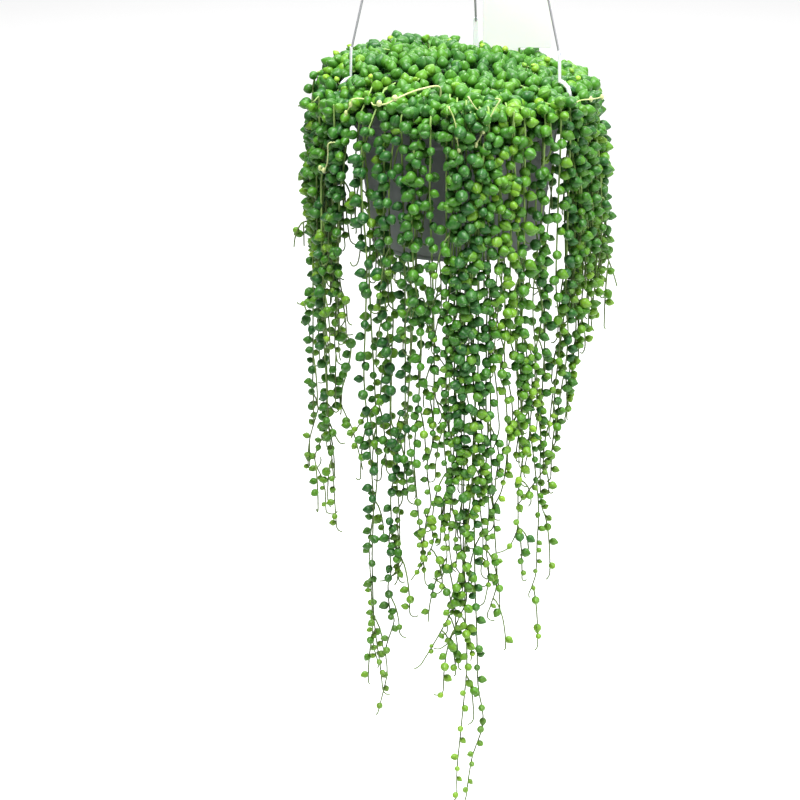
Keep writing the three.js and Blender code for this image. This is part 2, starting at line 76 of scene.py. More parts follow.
class Signal:
    """One socket of a node tree, used in expressions: each operator adds its Math node."""

    def __init__(self, tree: Tree, socket: bpy.types.NodeSocket) -> None:
        """Wraps a socket.

        Args:
            tree: The tree that the socket belongs to.
            socket: The output socket to read.
        """
        self.tree = tree
        self.socket = socket

    def _maths(self, operation: str, *terms: Signal | float) -> Signal:
        """Adds one Math node over the given terms.

        Args:
            operation: The Math node's operation.
            terms: Its inputs in order.

        Returns:
            The node's result.
        """
        values = dict(enumerate(terms))
        return self.tree.add("ShaderNodeMath", {"operation": operation}, values)

    def __add__(self, other: Signal | float) -> Signal:
        """This plus other."""
        return self._maths("ADD", self, other)

    def __radd__(self, other: float) -> Signal:
        """Other plus this."""
        return self._maths("ADD", other, self)

    def __sub__(self, other: Signal | float) -> Signal:
        """This minus other."""
        return self._maths("SUBTRACT", self, other)

    def __rsub__(self, other: float) -> Signal:
        """Other minus this."""
        return self._maths("SUBTRACT", other, self)

    def __mul__(self, other: Signal | float) -> Signal:
        """This times other."""
        return self._maths("MULTIPLY", self, other)

    def __rmul__(self, other: float) -> Signal:
        """Other times this."""
        return self._maths("MULTIPLY", other, self)

    def __truediv__(self, other: Signal | float) -> Signal:
        """This divided by other."""
        return self._maths("DIVIDE", self, other)

    def __pow__(self, power: float) -> Signal:
        """This to a power."""
        return self._maths("POWER", self, power)

    def __gt__(self, other: Signal | float) -> Signal:
        """1 where this is greater than other."""
        return self._maths("GREATER_THAN", self, other)

    def sine(self) -> Signal:
        """The sine of this."""
        return self._maths("SINE", self)

    def cosine(self) -> Signal:
        """The cosine of this."""
        return self._maths("COSINE", self)

    def size(self) -> Signal:
        """This without its sign."""
        return self._maths("ABSOLUTE", self)

    def at_least(self, floor: float) -> Signal:
        """This, or floor where this is lower."""
        return self._maths("MAXIMUM", self, floor)

    def between(self, start: float, end: float) -> Signal:
        """Rises smoothly from 0 at start to 1 at end.

        Args:
            start: The value that gives 0.
            end: The value that gives 1.

        Returns:
            The smooth step.
        """
        settings = {"interpolation_type": "SMOOTHSTEP"}
        values = {"Value": self, "From Min": start, "From Max": end}
        return self.tree.add("ShaderNodeMapRange", settings, values)


class Tree:
    """Fills one node tree, of a material or of geometry."""

    def __init__(self, tree: bpy.types.NodeTree) -> None:
        """Wraps a tree.

        Args:
            tree: The tree to fill.
        """
        self.tree = tree

    def node(self, kind: str, settings: Values | None = None, values: Values | None = None) -> Node:
        """Adds a node.

        Args:
            kind: The node's type.
            settings: Its own properties, set first.
            values: A value, a Signal or a socket for each input, by name or number.

        Returns:
            The new node.
        """
        node = self.tree.nodes.new(kind)
        for name, value in (settings or {}).items():
            setattr(node, name, value)
        self.fill(node, values or {})
        return node

    def fill(self, node: Node, values: Values) -> None:
        """Sets or links a node's inputs.

        Args:
            node: The node.
            values: A value, a Signal or a socket for each input, by name or number.
        """
        for key, value in values.items():
            socket = node.inputs[key]
            if isinstance(value, Signal):
                value = value.socket
            if isinstance(value, bpy.types.NodeSocket):
                self.tree.links.new(value, socket)
            else:
                socket.default_value = value

    def add(
        self, kind: str, settings: Values | None = None, values: Values | None = None, output: int | str = 0
    ) -> Signal:
        """Adds a node and gives one of its outputs.

        Args:
            kind: The node's type.
            settings: Its own properties.
            values: Its inputs.
            output: The output to give, by name or number.

        Returns:
            That output.
        """
        return Signal(self, self.node(kind, settings, values).outputs[output])

    def combine(self, x: Any = 0.0, y: Any = 0.0, z: Any = 0.0) -> Signal:
        """A vector of three numbers."""
        return self.add("ShaderNodeCombineXYZ", None, {"X": x, "Y": y, "Z": z})

    def split(self, vector: Signal) -> list[Signal]:
        """A vector's three numbers."""
        node = self.node("ShaderNodeSeparateXYZ", None, {0: vector})
        return [Signal(self, output) for output in node.outputs]

    def vector(self, operation: str, values: Values) -> Signal:
        """The result of a Vector Math node over the given inputs."""
        return self.add("ShaderNodeVectorMath", {"operation": operation}, values)

    def attribute(self, name: str, output: str = "Fac") -> Signal:
        """Reads a named attribute of the mesh in a material.

        Args:
            name: The attribute.
            output: Fac, Color or Vector.

        Returns:
            Its value.
        """
        return self.add("ShaderNodeAttribute", {"attribute_name": name}, output=output)

    def mix(self, factor: Signal | float, low: Any, high: Any) -> Signal:
        """Mixes two colours.

        Args:
            factor: 0 gives low and 1 gives high.
            low: A colour or a Signal.
            high: A colour or a Signal.

        Returns:
            The mixed colour.
        """
        low, high = (value if isinstance(value, Signal) else (*value, 1.0) for value in (low, high))
        return self.add("ShaderNodeMix", {"data_type": "RGBA"}, {0: factor, 6: low, 7: high}, output=2)

    def noise(self, scale: float, detail: float = 3.0, where: Signal | None = None) -> Signal:
        """Soft noise over the object's own coordinates.

        Args:
            scale: Blotches to a metre, roughly.
            detail: How many finer layers are added.
            where: Other coordinates to read.

        Returns:
            The noise, from 0 to 1.
        """
        where = where or self.add("ShaderNodeTexCoord", output="Object")
        return self.add("ShaderNodeTexNoise", None, {"Vector": where, "Scale": scale, "Detail": detail})


# ---- Finishes ----

Colour = tuple[float, float, float]


class Skin(Tree):
    """A material's tree with its Principled shader."""

    def __init__(self, material: bpy.types.Material, roughness: float) -> None:
        """Clears the material and gives it its shader.

        Args:
            material: The material, which uses nodes.
            roughness: The shader's roughness, where nothing feeds it.
        """
        super().__init__(material.node_tree)
        self.tree.nodes.clear()
        self.shader = self.node("ShaderNodeBsdfPrincipled", None, {"Roughness": roughness})
        self.node("ShaderNodeOutputMaterial", None, {"Surface": self.shader.outputs[0]})

    def feed(self, **values: Any) -> None:
        """Sets or links the shader's sockets.

        Args:
            values: A signal or a plain value for each socket, with _ for a space.
        """
        self.fill(self.shader, {name.replace("_", " "): value for name, value in values.items()})

    def bump(self, height: Signal, depth: float, strength: float = 1.0) -> Signal:
        """Turns a height into a normal.

        Args:
            height: The height, from 0 to 1.
            depth: How much 1 stands out, in metres.
            strength: The Bump node's strength.

        Returns:
            The normal.
        """
        values = {"Height": height, "Distance": depth, "Strength": strength}
        return self.add("ShaderNodeBump", None, values)


@dataclass(frozen=True)
class Finish:
    """What every finish has: a name and a roughness."""

    name: str
    roughness: float

    def material(self) -> bpy.types.Material:
        """Makes the finish.

        Returns:
            The new material.
        """
        material = bpy.data.materials.new(self.name)
        material.use_nodes = True
        self.paint(Skin(material, self.roughness))
        return material

    def paint(self, skin: Skin) -> None:
        """Adds what makes this finish its own.

        Args:
            skin: The material's tree.
        """
        raise NotImplementedError


@dataclass(frozen=True)
class PearlFinish(Finish):
    """A pearl's skin: old ones dark, young ones yellow-green, with a window slit and a pale point."""

    old: Colour = (0.016, 0.095, 0.018)
    ripe: Colour = (0.055, 0.205, 0.006)
    young: Colour = (0.27, 0.47, 0.03)
    slit: Colour = (0.008, 0.045, 0.004)
    bloom: Colour = (0.16, 0.38, 0.09)
    point: Colour = (0.5, 0.66, 0.36)
    specular: float = 0.34
    flesh: float = 0.06
    flesh_depth: float = 2.0 * MM
    flesh_reach: Colour = (0.3, 1.0, 0.15)

    def paint(self, skin: Skin) -> None:
        """Adds the skin's colours, its faint ribs and its sheen.

        Args:
            skin: The material's skin.
        """
        age = skin.attribute("age")
        tint = skin.attribute("tint")
        # Own warmth plus painted light: yellower right-hand strands, darker deeper mound pearls.
        warm_and_painted_light = skin.attribute("warm_and_painted_light")
        across, side, along = skin.split(skin.attribute("spot", "Vector"))
        grown = skin.mix((tint * 0.45 + warm_and_painted_light * 0.75).between(0.1, 0.9), self.old, self.ripe)
        fresh = (warm_and_painted_light * 0.9 + tint * 0.25).between(0.6, 1.15) * 0.55
        youth = age.between(0.65, 1.05) * 0.6 + fresh
        colour = skin.mix(youth, grown, self.young)
        mottle = skin.noise(330.0, 2.0)
        colour = skin.mix(mottle.between(0.4, 0.75) * 0.3, colour, self.bloom)
        slit = (1.0 - across.size().between(0.03, 0.16)) * side.between(0.2, 0.6) * 0.55
        colour = skin.mix(slit, colour, self.slit)
        colour = skin.mix(along.between(0.97, 1.0) * 0.7, colour, self.point)
        ribs = (across * 19.0).sine() * 0.5 + 0.5
        height = ribs * 0.3 + skin.noise(900.0, 2.0)
        skin.feed(
            Base_Color=colour,
            Roughness=mottle * 0.2 + self.roughness,
            Normal=skin.bump(height, 0.1 * MM, 0.5),
            Specular_IOR_Level=self.specular,
            Subsurface_Weight=self.flesh,
            Subsurface_Radius=self.flesh_reach,
            Subsurface_Scale=self.flesh_depth,
        )


@dataclass(frozen=True)
class StemFinish(Finish):
    """The stems: pale green near the crown, olive in blotches lower down, and fresher at the tip."""

    pale: Colour = (0.25, 0.4, 0.1)
    dark: Colour = (0.09, 0.14, 0.03)
    fresh: Colour = (0.14, 0.24, 0.05)

    def paint(self, skin: Skin) -> None:
        """Adds the stem's change of colour along its length.

        Args:
            skin: The material's skin.
        """
        age = skin.attribute("age")
        blotch = skin.noise(140.0, 4.0)
        colour = skin.mix((age + blotch * 0.6).between(0.6, 1.2), self.pale, self.dark)
        colour = skin.mix(age.between(0.85, 1.0) * 0.7, colour, self.fresh)
        grain = skin.noise(2600.0, 2.0)
        skin.feed(
            Base_Color=colour,
            Roughness=grain * 0.2 + self.roughness,
            Normal=skin.bump(grain, 0.08 * MM, 0.6),
        )


@dataclass(frozen=True)
class MouldedFinish(Finish):
    """Moulded plastic: a little uneven in colour, with faint flow streaks and a fine grain."""

    colour: Colour = (0.22, 0.235, 0.24)
    shade: Colour = (0.13, 0.14, 0.145)
    streaks: float = 0.35
    glow: float = 0.0
    glow_depth: float = 6.0 * MM

    def paint(self, skin: Skin) -> None:
        """Adds the flow streaks and the fine texture of the mould.

        Args:
            skin: The material's skin.
        """
        where = skin.add("ShaderNodeTexCoord", output="Object")
        stretched = skin.add("ShaderNodeMapping", None, {"Vector": where, "Scale": (1.0, 1.0, 0.12)})
        streak = skin.noise(46.0, 4.0, stretched)
        cloud = skin.noise(17.0, 3.0)
        shade = (streak.between(0.35, 0.7) * self.streaks + cloud.between(0.4, 0.7) * 0.4).at_least(0.0)
        grain = skin.noise(2100.0, 2.0)
        skin.feed(
            Base_Color=skin.mix(shade, self.colour, self.shade),
            Roughness=cloud * 0.18 + grain * 0.06 + self.roughness,
            Normal=skin.bump(grain * 0.3 + streak, 0.1 * MM, 0.4),
            Subsurface_Weight=self.glow,
            Subsurface_Scale=self.glow_depth,
        )


@dataclass(frozen=True)
class SoilFinish(Finish):
    """Moist peat mix with pale grit."""

    dark: Colour = (0.022, 0.013, 0.008)
    crumb: Colour = (0.085, 0.05, 0.028)
    grit: Colour = (0.45, 0.42, 0.36)

    def paint(self, skin: Skin) -> None:
        """Adds crumbs and grit.

        Args:
            skin: The material's skin.
        """
        crumbs = skin.noise(320.0, 6.0)
        grit = skin.add("ShaderNodeTexVoronoi", None, {"Scale": 420.0}, output="Distance")
        colour = skin.mix(crumbs.between(0.35, 0.7), self.dark, self.crumb)
        colour = skin.mix((1.0 - grit.between(0.05, 0.14)) * 0.7, colour, self.grit)
        skin.feed(Base_Color=colour, Normal=skin.bump(crumbs, 1.5 * MM))


@dataclass(frozen=True)
class PaintedShadeUndergrowthFinish(Finish):
    """The tangle of stems and leaves under the crown's pearls, near black: painted shade in the gaps."""

    # Near-black colours: painted shade for the hollows under the pearls.
    deep: Colour = (0.003, 0.012, 0.003)
    leaf: Colour = (0.016, 0.07, 0.01)
    specular: float = 0.1

    def paint(self, skin: Skin) -> None:
        """Adds the tangle, darkened to near black as painted shade.

        Args:
            skin: The material's skin.
        """
        cells = skin.add("ShaderNodeTexVoronoi", None, {"Scale": 110.0}, output="Distance")
        tangle = skin.noise(260.0, 5.0)
        colour = skin.mix((1.0 - cells) * tangle, self.deep, self.leaf)
        normal = skin.bump(1.0 - cells, 2.0 * MM)
        skin.feed(Base_Color=colour, Normal=normal, Specular_IOR_Level=self.specular)


@dataclass(frozen=True)
class ShootFinish(Finish):
    """The pale young shoot: cream with a green flush towards its tip."""

    cream: Colour = (0.56, 0.62, 0.27)
    flush: Colour = (0.34, 0.5, 0.1)

    def paint(self, skin: Skin) -> None:
        """Adds the flush.

        Args:
            skin: The material's skin.
        """
        blotch = skin.noise(70.0, 3.0)
        grain = skin.noise(1900.0, 2.0)
        skin.feed(
            Base_Color=skin.mix(blotch.between(0.45, 0.7), self.cream, self.flush),
            Roughness=grain * 0.15 + self.roughness,
            Normal=skin.bump(grain, 0.1 * MM, 0.6),
        )


@dataclass
class Palette:
    """The finished materials of the whole object."""

    white: ClassVar[Colour] = (0.9, 0.91, 0.95)
    milky: ClassVar[Colour] = (0.82, 0.83, 0.88)
    # The threads' two greys are the hanger's white plastic in painted shade.
    painted_shade_grey: ClassVar[Colour] = (0.36, 0.36, 0.38)
    painted_shade_dull: ClassVar[Colour] = (0.26, 0.26, 0.28)
    card: ClassVar[Colour] = (0.93, 0.93, 0.92)
    faded: ClassVar[Colour] = (0.88, 0.88, 0.88)

    def __post_init__(self) -> None:
        """Makes the materials."""
        self.pearl = PearlFinish("pearl_skin", 0.33).material()
        self.stem = StemFinish("stem_thread", 0.5).material()
        self.pot = MouldedFinish("pot_plastic", 0.38).material()
        self.hanger = MouldedFinish("hanger_plastic", 0.3, self.white, self.milky, 0.3, 0.1).material()
        # The threads: the hanger's white plastic painted grey, as painted shade.
        self.thread = MouldedFinish("hanger_thread_painted_shade", 0.3, self.painted_shade_grey, self.painted_shade_dull, 0.3).material()
        self.label = MouldedFinish("label_plastic", 0.42, self.card, self.faded, 0.2, 0.1).material()
        self.soil = SoilFinish("potting_mix", 0.95).material()
        # The crown's core, painted near black as shade between the pearls.
        self.painted_shade_undergrowth = PaintedShadeUndergrowthFinish("painted_shade_undergrowth", 0.7).material()
        self.shoot = ShootFinish("young_shoot", 0.42).material()


# ---- Shapes ----


Range = tuple[float, float]
Outline = Sequence[Range]
Ring = list[bmesh.types.BMVert]
Piece = bpy.types.Object


def around(bearing: float, radius: float, height: float) -> Vector:
    """A point at a bearing about the pot's axis.

    Args:
        bearing: Degrees, 0 at the front and 90 at the right.
        radius: Metres from the axis.
        height: Metres.

    Returns:
        The point.
    """
    turn = math.radians(bearing)
    return Vector((radius * math.sin(turn), -radius * math.cos(turn), height))


def smooth_line(points: Sequence[Vector], steps: int) -> list[Vector]:
    """A smooth line through points.

    Args:
        points: The points that it passes through.
        steps: Pieces between two of them.

    Returns:
        The finer points.
    """
    ends = [points[0], *points, points[-1]]
    line = []
    for a, b, c, d in zip(ends, ends[1:], ends[2:], ends[3:]):
        for i in range(steps):
            t = i / steps
            square = (2 * a - 5 * b + 4 * c - d) * t**2
            cube = (3 * b - a - 3 * c + d) * t**3
            line.append(0.5 * (2 * b + (c - a) * t + square + cube))
    return [*line, points[-1].copy()]


def soften(profile: Outline, radius: float) -> list[Range]:
    """Rounds the corners of a profile, but not its two ends.

    Args:
        profile: Its points.
        radius: The largest fillet.

    Returns:
        The rounded profile.
    """
    steps = 4
    points = [Vector(point) for point in profile]
    rounded = [points[0]]
    for before, corner, after in zip(points, points[1:], points[2:]):
        reach_in = min(radius, (before - corner).length * 0.45)
        reach_out = min(radius, (after - corner).length * 0.45)
        start = corner + (before - corner).normalized() * reach_in
        end = corner + (after - corner).normalized() * reach_out
        for i in range(steps + 1):
            t = i / steps
            rounded.append(start * (1 - t) ** 2 + corner * 2 * t * (1 - t) + end * t**2)
    rounded.append(points[-1])
    return [(point.x, point.y) for point in rounded]


class Sculptor:
    """Builds one mesh from turned, swept and extruded shapes."""

    def __init__(self) -> None:
        """Starts with nothing."""
        self.mesh = bmesh.new()

    def turn(self, profile: Outline, segments: int) -> None:
        """Adds a closed solid turned about Z.

        Args:
            profile: Radius and height of its points, from the axis down the outside and back to the axis.
            segments: Steps of the turn.
        """
        rings = []
        for radius, height in profile:
            if radius < 1e-7:
                rings.append([self.mesh.verts.new((0.0, 0.0, height))])
            else:
                turns = (2 * math.pi * i / segments for i in range(segments))
                points = ((radius * math.cos(a), radius * math.sin(a), height) for a in turns)
                rings.append([self.mesh.verts.new(point) for point in points])
        for upper, lower in zip(rings, rings[1:]):
            self._wall(upper, lower, segments)

    def _wall(self, upper: Ring, lower: Ring, segments: int) -> None:
        """Joins two rings, of which one may be a single point.

        Args:
            upper: The first ring.
            lower: The next ring.
            segments: Points to a full ring.
        """
        for i in range(segments):
            j = (i + 1) % segments
            corners = ((upper, i), (lower, i), (lower, j), (upper, j))
            unique = list(dict.fromkeys(ring[place % len(ring)] for ring, place in corners))
            if len(unique) > 2:
                self.mesh.faces.new(unique)

    def sweep(self, line: Sequence[Vector], radii: Sequence[float], sides: int) -> None:
        """Adds a round rod along a line.

        Args:
            line: Its middle line.
            radii: Its radius at each point.
            sides: Sides of its section.
        """
        ends = [line[0], *line, line[-1]]
        tangents = [(ahead - behind).normalized() for behind, ahead in zip(ends, ends[2:])]
        across = tangents[0].orthogonal().normalized()
        rings = []
        for point, tangent, radius in zip(line, tangents, radii):
            across = (across - tangent * across.dot(tangent)).normalized()
            other = tangent.cross(across)
            ring = []
            for i in range(sides):
                turn = 2 * math.pi * i / sides
                place = point + radius * (math.cos(turn) * across + math.sin(turn) * other)
                ring.append(self.mesh.verts.new(place))
            rings.append(ring)
        self.mesh.faces.new(reversed(rings[0]))
        for first, second in zip(rings, rings[1:]):
            self._wall(second, first, sides)
        self.mesh.faces.new(rings[-1])

    def plate(self, outline: Outline, thickness: float, place: Matrix) -> None:
        """Adds a flat plate.

        Args:
            outline: Its outline in the plate's own X and Y.
            thickness: Its thickness along Z, shared by both sides.
            place: Where it stands.
        """
        sides = []
        for height in (-thickness / 2, thickness / 2):
            sides.append([self.mesh.verts.new(place @ Vector((x, y, height))) for x, y in outline])
        self.mesh.faces.new(reversed(sides[0]))
        self.mesh.faces.new(sides[1])
        for i in range(len(outline)):
            j = (i + 1) % len(outline)
            self.mesh.faces.new((sides[0][i], sides[0][j], sides[1][j], sides[1][i]))

    def ball(self, centre: Vector, radius: float, stretch: float = 1.0) -> None:
        """Adds a ball.

        Args:
            centre: Its centre.
            radius: Its radius.
            stretch: How much longer it is along Z.
        """
        place = Matrix.Translation(centre) @ Matrix.Diagonal((1.0, 1.0, stretch, 1.0))
        bmesh.ops.create_uvsphere(self.mesh, u_segments=16, v_segments=10, radius=radius, matrix=place)

    def piece(self, name: str, material: bpy.types.Material, shift: Vector | None = None) -> Piece:
        """Finishes the mesh as an object at the origin.

        Args:
            name: The object's name.
            material: Its finish.
            shift: Where its own origin lies in the frame.

        Returns:
            The new object.
        """
        bmesh.ops.recalc_face_normals(self.mesh, faces=self.mesh.faces)
        if shift is not None:
            bmesh.ops.translate(self.mesh, verts=self.mesh.verts, vec=shift)
        data = bpy.data.meshes.new(name)
        self.mesh.to_mesh(data)
        self.mesh.free()
        data.polygons.foreach_set("use_smooth", [True] * len(data.polygons))
        data.materials.append(material)
        data.set_sharp_from_angle(angle=math.radians(38))
        return stand(name, data)


def stand(name: str, data: bpy.types.ID) -> Piece:
    """Puts data into the scene as an object at the origin.

    Args:
        name: The object's name.
        data: Its mesh, light or camera.

    Returns:
        The new object.
    """
    piece = bpy.data.objects.new(name, data)
    bpy.context.scene.collection.objects.link(piece)
    return piece


def bevel(piece: Piece, width: float, segments: int = 3) -> None:
    """Rounds a piece's sharp edges with a live modifier.

    Args:
        piece: The piece.
        width: The bevel's width.
        segments: Its segments.
    """
    modifier = piece.modifiers.new("round", "BEVEL")
    modifier.width = width
    modifier.segments = segments
    modifier.limit_method = "ANGLE"
    modifier.angle_limit = math.radians(35)


def set_down(source: Piece, name: str) -> Piece:
    """Turns an object with modifiers into a plain mesh piece, and removes the object.

    Args:
        source: The object.
        name: The piece's name.

    Returns:
        The plain piece.
    """
    depsgraph = bpy.context.evaluated_depsgraph_get()
    evaluated = source.evaluated_get(depsgraph)
    data = bpy.data.meshes.new_from_object(evaluated, preserve_all_data_layers=True, depsgraph=depsgraph)
    data.name = name
    bpy.data.objects.remove(source)
    return stand(name, data)


def mount(piece: Piece, slot: str, *nodes: str) -> None:
    """Rides a piece on the frame's one body, hides the nodes that it replaces and logs its faces.

    Args:
        piece: The piece.
        slot: The record's material slot; not used.
        nodes: The nodes that it replaces.
    """
    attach(piece, ROOT_BODY)
    if nodes:
        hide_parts(*nodes)
    log.info("%s: %d faces", piece.name, len(piece.data.polygons))


# ---- Geometry Nodes: one pearl, strings of pearls, and a mound of pearls ----


class Kind(Enum):
    """The type of a geometry tree's input."""

    LENGTH = "NodeSocketFloat"
    NUMBER = "NodeSocketInt"
    FINISH = "NodeSocketMaterial"
    SHAPE = "NodeSocketGeometry"


class GrowingTree(Tree):
    """A geometry tree with named inputs, put on an object as a modifier."""

    def __init__(self, name: str, *lengths: str) -> None:
        """Makes the tree and its interface.

        Args:
            name: The tree's name.
            lengths: Its own inputs, before the seed and the two finishes.
        """
        super().__init__(bpy.data.node_groups.new(name, "GeometryNodeTree"))
        inputs = dict.fromkeys(lengths, Kind.LENGTH)
        inputs |= {"Seed": Kind.NUMBER, "Stem Finish": Kind.FINISH, "Pearl Finish": Kind.FINISH}
        face = self.tree.interface
        face.new_socket("Geometry", in_out="OUTPUT", socket_type=Kind.SHAPE.value)
        face.new_socket("Geometry", in_out="INPUT", socket_type=Kind.SHAPE.value)
        self.keys = {
            title: face.new_socket(title, in_out="INPUT", socket_type=kind.value).identifier
            for title, kind in inputs.items()
        }
        self.entry = self.tree.nodes.new("NodeGroupInput")

    def given(self, title: str) -> Signal:
        """One of the tree's inputs."""
        return Signal(self, self.entry.outputs[title])

    def chance(self, low: float, high: float, seed: int) -> Signal:
        """A random number for each point.

        Args:
            low: The least.
            high: The most.
            seed: Added to the tree's own seed.

        Returns:
            The number.
        """
        values = {2: low, 3: high, 8: self.given("Seed") + float(seed)}
        return self.add("FunctionNodeRandomValue", {"data_type": "FLOAT"}, values, output=1)

    def store(self, shape: Signal, name: str, value: Any, kind: str = "FLOAT") -> Signal:
        """Stores a number or a vector on each point, as a named attribute.

        Args:
            shape: The geometry.
            name: The attribute's name.
            value: A number or a Signal.
            kind: FLOAT or FLOAT_VECTOR.

        Returns:
            The geometry with the attribute.
        """
        settings = {"data_type": kind, "domain": "POINT"}
        values = {"Geometry": shape, "Name": name, "Value": value}
        return self.add("GeometryNodeStoreNamedAttribute", settings, values)

    def read(self, name: str) -> Signal:
        """Reads a named number."""
        return self.add("GeometryNodeInputNamedAttribute", {"data_type": "FLOAT"}, {"Name": name})

    def join(self, *shapes: Signal) -> Signal:
        """Joins geometries.

        Args:
            shapes: The geometries.

        Returns:
            All of them as one.
        """
        node = self.node("GeometryNodeJoinGeometry")
        for shape in shapes:
            self.tree.links.new(shape.socket, node.inputs[0])
        return Signal(self, node.outputs[0])

    def pearl(self, neck: float, point: float) -> Signal:
        """A pearl of radius 1 on its short neck, which starts at the origin and points along Z.

        Args:
            neck: The neck's length in pearl radii.
            point: How far its tip is drawn out, in pearl radii.

        Returns:
            The pearl and its neck, with the attributes spot and bead.
        """
        cap, sunk = 0.75, 0.94
        ball = self.add("GeometryNodeMeshUVSphere", None, {"Segments": 10, "Rings": 8, "Radius": 1.0})
        position = self.add("GeometryNodeInputPosition")
        ball = self.store(ball, "spot", position, "FLOAT_VECTOR")
        ball = self.store(ball, "bead", 1.0)
        height = self.split(position)[2]
        tip = (((height - cap).at_least(0.0) / (1 - cap)) ** 2.0) * point + neck + sunk
        ball = self.add("GeometryNodeSetPosition", None, {"Geometry": ball, "Offset": self.combine(z=tip)})
        values = {"Vertices": 4, "Radius": 0.1, "Depth": neck + 0.3}
        stalk = self.add("GeometryNodeMeshCylinder", None, values)
        move = {"Geometry": stalk, "Translation": (0.0, 0.0, neck / 2 + 0.1)}
        stalk = self.store(self.add("GeometryNodeTransform", None, move), "bead", 0.0)
        return self.join(ball, stalk)

    def aim(self, direction: Signal) -> Signal:
        """A rotation that points Z along a direction, with a random turn about it.

        Args:
            direction: The direction.

        Returns:
            The rotation.
        """
        spin = self.combine(z=self.chance(0.0, 2 * math.pi, 31))
        spin = self.add("FunctionNodeEulerToRotation", None, {0: spin})
        aimed = self.add("FunctionNodeAlignRotationToVector", {"axis": "Z"}, {"Vector": direction})
        settings = {"rotation_space": "LOCAL"}
        return self.add("FunctionNodeRotateRotation", settings, {"Rotation": aimed, "Rotate By": spin})

    def finish(self, shape: Signal) -> None:
        """Ends the tree: real geometry, smooth, with the stem's finish and the pearl's over it.

        Args:
            shape: The geometry to give out.
        """
        real = self.add("GeometryNodeRealizeInstances", None, {0: shape})
        smooth = self.add("GeometryNodeSetShadeSmooth", None, {"Geometry": real})
        threads = {0: smooth, "Material": self.given("Stem Finish")}
        stems = self.add("GeometryNodeSetMaterial", None, threads)
        beads = {0: stems, "Selection": self.read("bead") > 0.5, "Material": self.given("Pearl Finish")}
        done = self.add("GeometryNodeSetMaterial", None, beads)
        self.node("NodeGroupOutput", None, {0: done})

    def grow(self, source: Piece, name: str, palette: Palette, **values: Any) -> Piece:
        """Runs the tree on an object and sets the result down as a plain piece.

        Args:
            source: The object that carries the input geometry.
            name: The new piece's name.
            palette: The finishes.
            values: A value for each other input, with _ for a space.

        Returns:
            The piece.
        """
        modifier = source.modifiers.new("grow", "NODES")
        modifier.node_group = self.tree
        values |= {"Stem_Finish": palette.stem, "Pearl_Finish": palette.pearl}
        for title, value in values.items():
            modifier[self.keys[title.replace("_", " ")]] = value
        return set_down(source, name)


class StringTree(GrowingTree):
    """Grows stems along chains of edges, with pearls all the way on short necks."""

    def __init__(self) -> None:
        """Builds the tree."""
        lengths = ("Spacing", "Pearl Radius", "Tip Radius", "Stem Radius", "Lift", "Outward")
        super().__init__("pearl_strings", *lengths)
        chain = self.add("GeometryNodeMeshToCurve", None, {"Mesh": self.given("Geometry")})
        self.finish(self.join(self._stems(chain), self._pearls(chain)))

    def _stems(self, chain: Signal) -> Signal:
        """The stems, thinner towards their tips.

        Args:
            chain: The stems' middle lines.

        Returns:
            Their mesh.
        """
        age = self.read("age")
        thickness = self.given("Stem Radius") * (1.0 - age * 0.35)
        section = self.add("GeometryNodeCurvePrimitiveCircle", None, {"Resolution": 5, "Radius": 1.0})
        values = {"Curve": chain, "Profile Curve": section, "Scale": thickness, "Fill Caps": True}
        stems = self.add("GeometryNodeCurveToMesh", None, values)
        return self.store(stems, "bead", 0.0)

    def _pearls(self, chain: Signal) -> Signal:
        """The pearls, turned round the stem by the golden angle, leaning outwards, and smaller at the tip.

        Args:
            chain: The stems' middle lines.

        Returns:
            Their instances.
        """
        values = {"Curve": chain, "Length": self.given("Spacing")}
        scatter = self.node("GeometryNodeCurveToPoints", {"mode": "LENGTH"}, values)
        points, tangent = (Signal(self, scatter.outputs[name]) for name in ("Points", "Tangent"))
        slide = self.vector("SCALE", {0: tangent, 3: self.chance(-3.2 * MM, 3.2 * MM, 16)})
        points = self.add("GeometryNodeSetPosition", None, {"Geometry": points, "Offset": slide})
        index = self.add("GeometryNodeInputIndex")
        turn = index * GOLDEN_TURN + self.chance(-0.8, 0.8, 11)
        rise = self.given("Lift") + self.chance(-0.5, 0.5, 12)
        direction = self.combine(turn.cosine(), turn.sine(), rise)
        direction = self.vector("ADD", {0: direction, 1: self._outward()})
        age = self.read("age")
        span = self.given("Tip Radius") - self.given("Pearl Radius")
        size = (self.given("Pearl Radius") + span * age**2.2) * self.chance(0.82, 1.1, 13)
        points = self.store(points, "tint", self.chance(0.0, 1.0, 14))
        values = {
            "Points": points,
            "Selection": self.read("leafy") > self.chance(0.02, 1.07, 15),
            "Instance": self.pearl(0.2, 0.46),
            "Rotation": self.aim(direction),
            "Scale": size * self.read("girth"),
        }
        return self.add("GeometryNodeInstanceOnPoints", None, values)

    def _outward(self) -> Signal:
        """A push away from the pot's axis, because the leaves turn to the light.

        Returns:
            The push.
        """
        position = self.add("GeometryNodeInputPosition")
        unit = self.vector("NORMALIZE", {0: self.vector("MULTIPLY", {0: position, 1: (1.0, 1.0, 0.0)})})
        return self.vector("SCALE", {0: unit, 3: self.given("Outward")})


